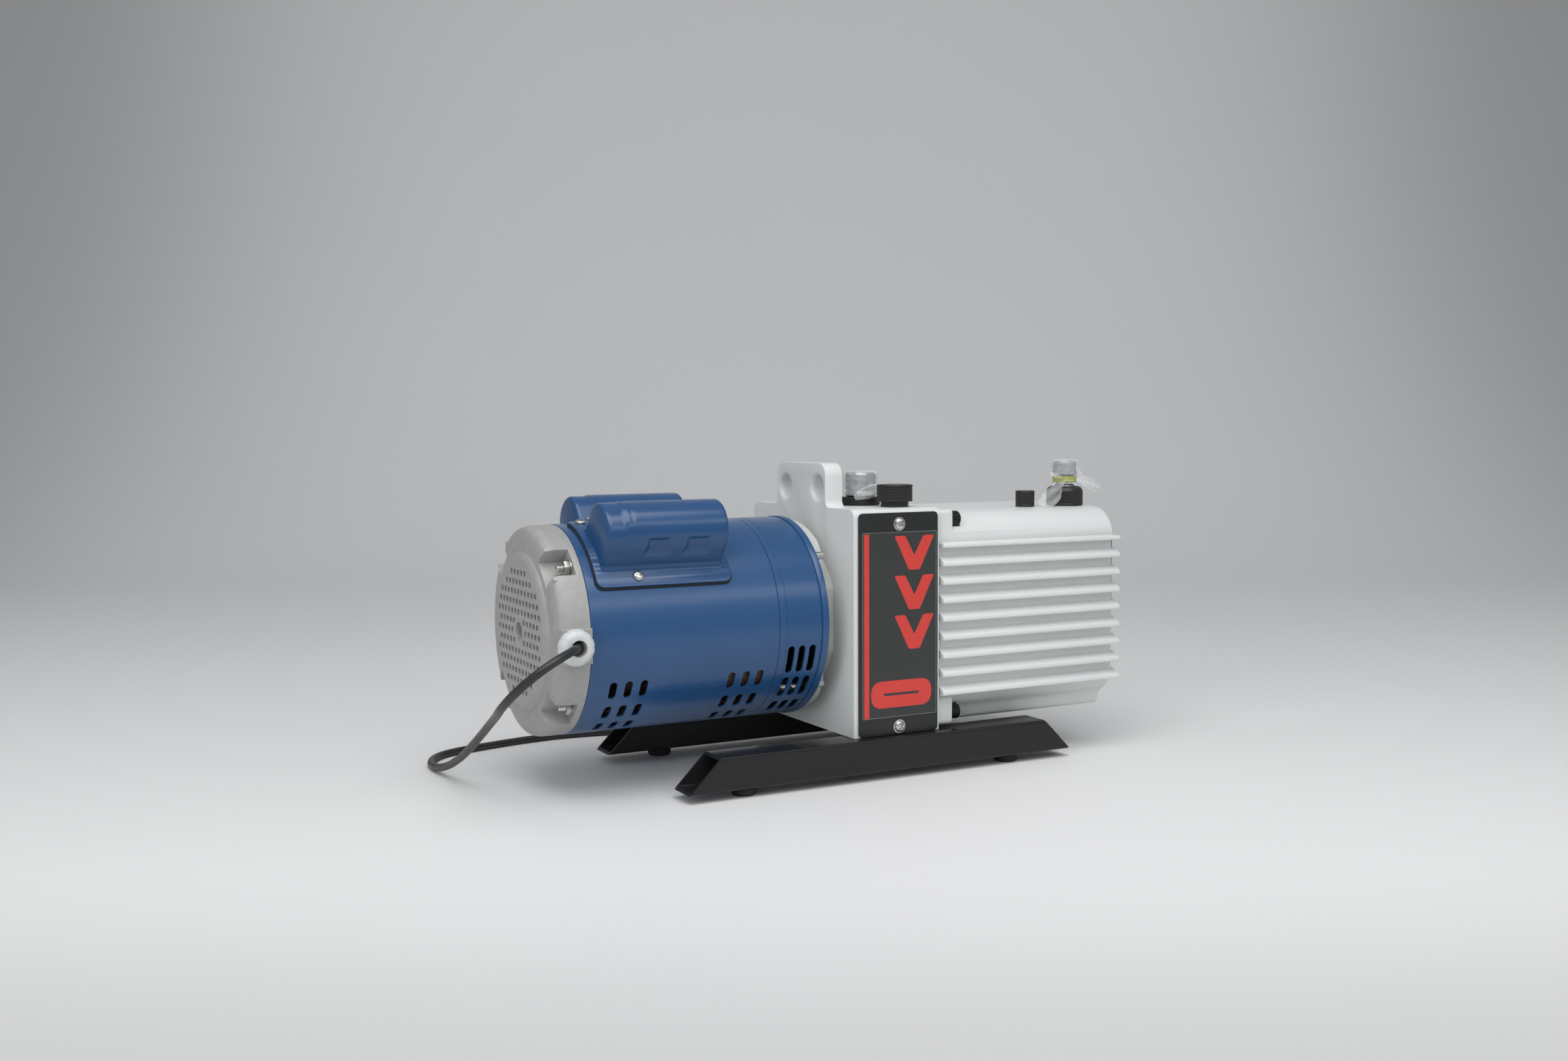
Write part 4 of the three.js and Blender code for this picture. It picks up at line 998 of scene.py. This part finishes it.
gland = [(6.2, -98.3), (9.5, -98.3, 1.5), (12.4, -96.6, 2.5), (13.8, -93.2, 2), (13.8, -89.3, 0.3),
         (7.1, -89.3), (7.1, -73),
         (5.9, -73)]


def gland_ripple(j, k, radius, along):
    return -0.35 * (0.5 + 0.5 * math.cos(12 * math.tau * k / 144)) ** 6 if radius > 11 else 0


piece("cord_gland", lathe(soften(gland, 0.0, 5), "y", (-235.8, 0, 125.8), 144, gland_ripple), WHITE_PLASTIC,
      stands_for="cable_gland", angle=30)


# ---- capacitor covers ----
TILT = math.radians(38)


def tilted(u, w, sign):
    """From a cover's own axes (outwards along the barrel, up from the shaft) to y and z."""
    return sign * (w * math.sin(TILT) + u * math.cos(TILT)), AXIS_Z + w * math.cos(TILT) - u * math.sin(TILT)


def cover_shell(start, sign):
    """A pressed cap: round top, flat ends, a step near the motor end, and two panels pressed into its side."""
    length, radius, centre = 99.0, 22.5, 101.0
    stations = [0, 0.25, 0.6, 1.0, 1.6, 2.3, 3.0]
    stations += [3.0 + 1.5 * k for k in range(1, 62)]
    stations += [96.0, 96.7, 97.4, 98.0, 98.4, 98.75, 99.0]
    bm, rows = bmesh.new(), []
    for s in stations:
        edge = min(s, length - s)
        trim = 3.0 - math.sqrt(max(9.0 - (3.0 - min(edge, 3.0)) ** 2, 0))
        low = 1 - max(0.0, min(1.0, (s - 13.5) / 4.5))
        low = low * low * (3 - 2 * low)
        sag = 1.9 * low + 0.55 * math.exp(-((s - 19.6) / 1.5) ** 2)
        r = radius - trim
        row = []
        feet = [(26.3, -0.25), (24.6, 0.15), (23.4, 0.9), (22.75, 2.0), (22.5, 3.4)]
        points = []
        for u, rise in feet:
            u = u - trim * (0.35 if u > 23 else 1)
            points.append((u, math.sqrt(85.6 ** 2 - u ** 2) + rise, 0))
        base = points[-1][1]
        for k in range(1, 11):
            points.append((r, base + (centre - base) * k / 10, 0))
        for k in range(1, 31):
            a = math.pi / 2 * k / 30
            points.append((r * math.cos(a), centre + (r - sag * math.sin(a)) * math.sin(a), 0))
        full = points + [(-u, w, 0) for u, w, _ in reversed(points[:-1])]
        travelled = 0.0
        for i, (u, w, _) in enumerate(full):
            if i:
                travelled += math.hypot(u - full[i - 1][0], w - full[i - 1][1])
            dent = 0.0
            if u > 0 and i > 3:
                for left, right_end in ((31.0, 52.5), (63.0, 85.5)):
                    inside = min(s - left, right_end - s)
                    depth_v = min(travelled - 15.5, 33.0 - travelled)
                    amount = min(inside / 4.0, depth_v / 4.6, 1.0)
                    if amount > 0:
                        dent = max(dent, amount)
            dent = dent * dent * (3 - 2 * dent) * 2.3
            nu, nw = (1, 0) if w < centre else ((u / r if r else 0), (w - centre) / r)
            row.append(bm.verts.new((start + s, *tilted(u - nu * dent, w - nw * dent, sign))))
        rows.append(row)
    for first, second in zip(rows, rows[1:]):
        for k in range(len(first) - 1):
            bm.faces.new((first[k], first[k + 1], second[k + 1], second[k]))
    bm.faces.new(rows[0])
    bm.faces.new(rows[-1])
    bmesh.ops.recalc_face_normals(bm, faces=bm.faces)
    return bm


def barrel_plate(inner, outer, low, high, x0, x1, corner, sign, edge=0.3):
    """A curved plate on the barrel with round corners; low and high are degrees from straight up."""
    reach = math.radians(high - low) * outer
    outline = soften([(x0, 0), (x1, 0), (x1, reach), (x0, reach)], corner, 7)
    fine = []
    for a, b in zip(outline, outline[1:] + outline[:1]):
        steps = max(1, int(math.dist(a, b) / 2.0))
        fine += [(a[0] + (b[0] - a[0]) * k / steps, a[1] + (b[1] - a[1]) * k / steps) for k in range(steps)]
    bm, rings = bmesh.new(), []
    for radius, shrink in ((inner, 0), (outer - edge, 0), (outer - edge * 0.3, edge * 0.3), (outer, edge)):
        ring = []
        for x, run in (inset(fine, shrink) if shrink else fine):
            a = math.radians(low) + run / outer
            ring.append(bm.verts.new((x, sign * radius * math.sin(a), AXIS_Z + radius * math.cos(a))))
        rings.append(ring)
    for first, second in zip(rings, rings[1:]):
        bridge(bm, first, second)
    for ring, radius, shrink in ((rings[0], inner, 0), (rings[-1], outer, edge)):
        rim = inset(fine, shrink) if shrink else fine
        cap = bmesh.new()
        flat = [cap.verts.new((u, v, 0)) for u, v in rim]
        cap.faces.new(flat)
        for k in range(1, 24):
            cut_at = reach * k / 24
            geometry = cap.verts[:] + cap.edges[:] + cap.faces[:]
            bmesh.ops.bisect_plane(cap, geom=geometry, plane_co=(0, cut_at, 0), plane_no=(0, 1, 0))
        for v in cap.verts:
            x, run = v.co.x, v.co.y
            a = math.radians(low) + run / outer
            v.co = Vector((x, sign * radius * math.sin(a), AXIS_Z + radius * math.cos(a)))
        mesh = bpy.data.meshes.new("cap")
        cap.to_mesh(mesh)
        cap.free()
        bm.from_mesh(mesh)
        bpy.data.meshes.remove(mesh)
    bmesh.ops.remove_doubles(bm, verts=bm.verts, dist=0.02)
    bmesh.ops.recalc_face_normals(bm, faces=bm.faces)
    return bm


for side, (start, sign) in COVERS.items():
    plate_bm = barrel_plate(84.3, 85.6, 6, 63, start - 5.5, start + 105, 7, sign)
    cover = merged(cover_shell(start, sign), plate_bm)
    piece(f"cover_pressing_{side}", cover, BLUE, stands_for=f"capacitor_cover_{side}", angle=40)
    seal = barrel_plate(82.8, 84.0, 5.1, 63.9, start - 6.5, start + 106, 7.6, sign, 0.2)
    piece(f"cover_seal_{side}", seal, RUBBER, stands_for=f"cover_gasket_{side}", angle=40)
    for i, (x, angle) in enumerate(cover_screws(start)):
        screw = cross_screw(4.3, 2, 3.6, 1.2)
        c, s = math.cos(math.radians(angle)), math.sin(math.radians(angle))
        for v in screw.verts:
            a, out, b = v.co.x, -v.co.y + 85.6, v.co.z
            v.co = Vector((x + a, sign * (out * s + b * c), AXIS_Z + out * c - b * s))
        bmesh.ops.recalc_face_normals(screw, faces=screw.faces)
        name = ("upper", "lower")[i]
        piece(f"cover_fixing_{side}_{name}", screw, ZINC, stands_for=f"cover_screw_{side}_{name}", angle=30)


# ---- floor, backdrop and light ----
def backdrop():
    """A floor that sweeps up into a wall behind the machine, wide enough for every view."""
    bm, rows = bmesh.new(), []
    profile = [(-12.0, 0.0), (-4.0, 0.0), (-2.0, 0.0), (0.0, 0.0), (1.0, 0.0), (1.5, 0.0)]
    profile += [(1.5 + 1.6 * math.sin(math.radians(a)),
        1.6 * (1 - math.cos(math.radians(a)))) for a in range(6, 91, 6)]
    profile += [(3.1, 2.2), (3.1, 3.0), (3.1, 5.0)]
    flat = Vector((forward.x, forward.y, 0)).normalized()
    across = Vector((flat.y, -flat.x, 0))
    for run, height in profile:
        rows.append([bm.verts.new(flat * run + across * (12.0 * k / 10) + Vector((0, 0,
                height))) for k in range(-10, 11)])
    for first, second in zip(rows, rows[1:]):
        for k in range(20):
            bm.faces.new((first[k], first[k + 1], second[k + 1], second[k]))
    bmesh.ops.recalc_face_normals(bm, faces=bm.faces)
    mesh = bpy.data.meshes.new("studio_floor")
    bm.to_mesh(mesh)
    bm.free()
    obj = bpy.data.objects.new("studio_floor", mesh)
    SCENE.collection.objects.link(obj)
    mesh.shade_smooth()
    paper = material("studio_paper", (0.76, 0.76, 0.76), 0.65, vary=0.004, vary_scale=3)
    mesh.materials.append(paper)
    nodes, links = paper.node_tree.nodes, paper.node_tree.links
    place = nodes.new("ShaderNodeTexCoord").outputs["Object"]

    def ramped(direction, start, end, low, high, squared=False):
        dot = nodes.new("ShaderNodeVectorMath")
        dot.operation = "DOT_PRODUCT"
        dot.inputs[1].default_value = direction
        links.new(place, dot.inputs[0])
        value = dot.outputs["Value"]
        if squared:
            times = nodes.new("ShaderNodeMath")
            times.operation = "MULTIPLY"
            links.new(value, times.inputs[0])
            links.new(value, times.inputs[1])
            value = times.outputs["Value"]
        spread = nodes.new("ShaderNodeMapRange")
        spread.interpolation_type = "SMOOTHSTEP"
        for socket, number in zip(("From Min", "From Max", "To Min", "To Max"), (start, end, low, high)):
            spread.inputs[socket].default_value = number
        links.new(value, spread.inputs["Value"])
        return spread.outputs["Result"]

    # Painted light: an emission that makes the paper glow, more towards the back and the middle, in place of
    # light falling on the wall.
    painted_wall_glow = ramped(flat, 0.3, 2.6, 0.0, 0.05)
    times = nodes.new("ShaderNodeMath")
    times.operation = "MULTIPLY"
    links.new(painted_wall_glow, times.inputs[0])
    links.new(ramped(across, 0.2, 4.0, 1.0, 0.0, True), times.inputs[1])
    shader = nodes["Principled BSDF"]
    links.new(times.outputs["Value"], shader.inputs["Emission Strength"])
    shader.inputs["Emission Color"].default_value = (1, 1, 1, 1)
    tint = shader.inputs["Base Color"].links[0].from_socket
    # Painted shade: the paper's colour darkens towards the sides and towards the front.
    for factor in (ramped(across, 0.6, 5.0, 1.0, 0.72, True), ramped(flat, -0.7, -0.3, 0.72, 1.0)):
        scale = nodes.new("ShaderNodeVectorMath")
        scale.operation = "SCALE"
        links.new(tint, scale.inputs[0])
        links.new(factor, scale.inputs["Scale"])
        tint = scale.outputs["Vector"]
    links.new(tint, shader.inputs["Base Color"])


backdrop()


def lamp(name, place, target, size, power, size_y=None, glossy=True):
    data = bpy.data.lights.new(name, "AREA")
    data.shape, data.size, data.size_y, data.energy = "RECTANGLE", size, size_y or size, power
    obj = bpy.data.objects.new(name, data)
    obj.location = place
    obj.visible_glossy = glossy
    obj.rotation_euler = (Vector(target) - Vector(place)).to_track_quat("-Z", "Y").to_euler()
    SCENE.collection.objects.link(obj)


lamp("overhead", (-0.35, -0.75, 1.7), (0.0, 0.0, 0.1), 1.9, 24, 1.3)
lamp("left_fill", (-2.0, -1.2, 0.9), (0.0, 0.0, 0.15), 1.4, 13, glossy=False)
lamp("front_fill", (0.9, -2.2, 0.8), (0.0, 0.0, 0.1), 1.6, 1.5, glossy=False)
lamp("strip", (0.45, -1.35, 0.95), (-0.16, -0.08, 0.155), 1.4, 2.4, 0.3)
world = bpy.data.worlds.new("studio")
SCENE.world = world
world.use_nodes = True
world.node_tree.nodes["Background"].inputs["Color"].default_value = (0.9, 0.93, 0.96, 1)
world.node_tree.nodes["Background"].inputs["Strength"].default_value = 0.42
SCENE.view_settings.view_transform = "Standard"
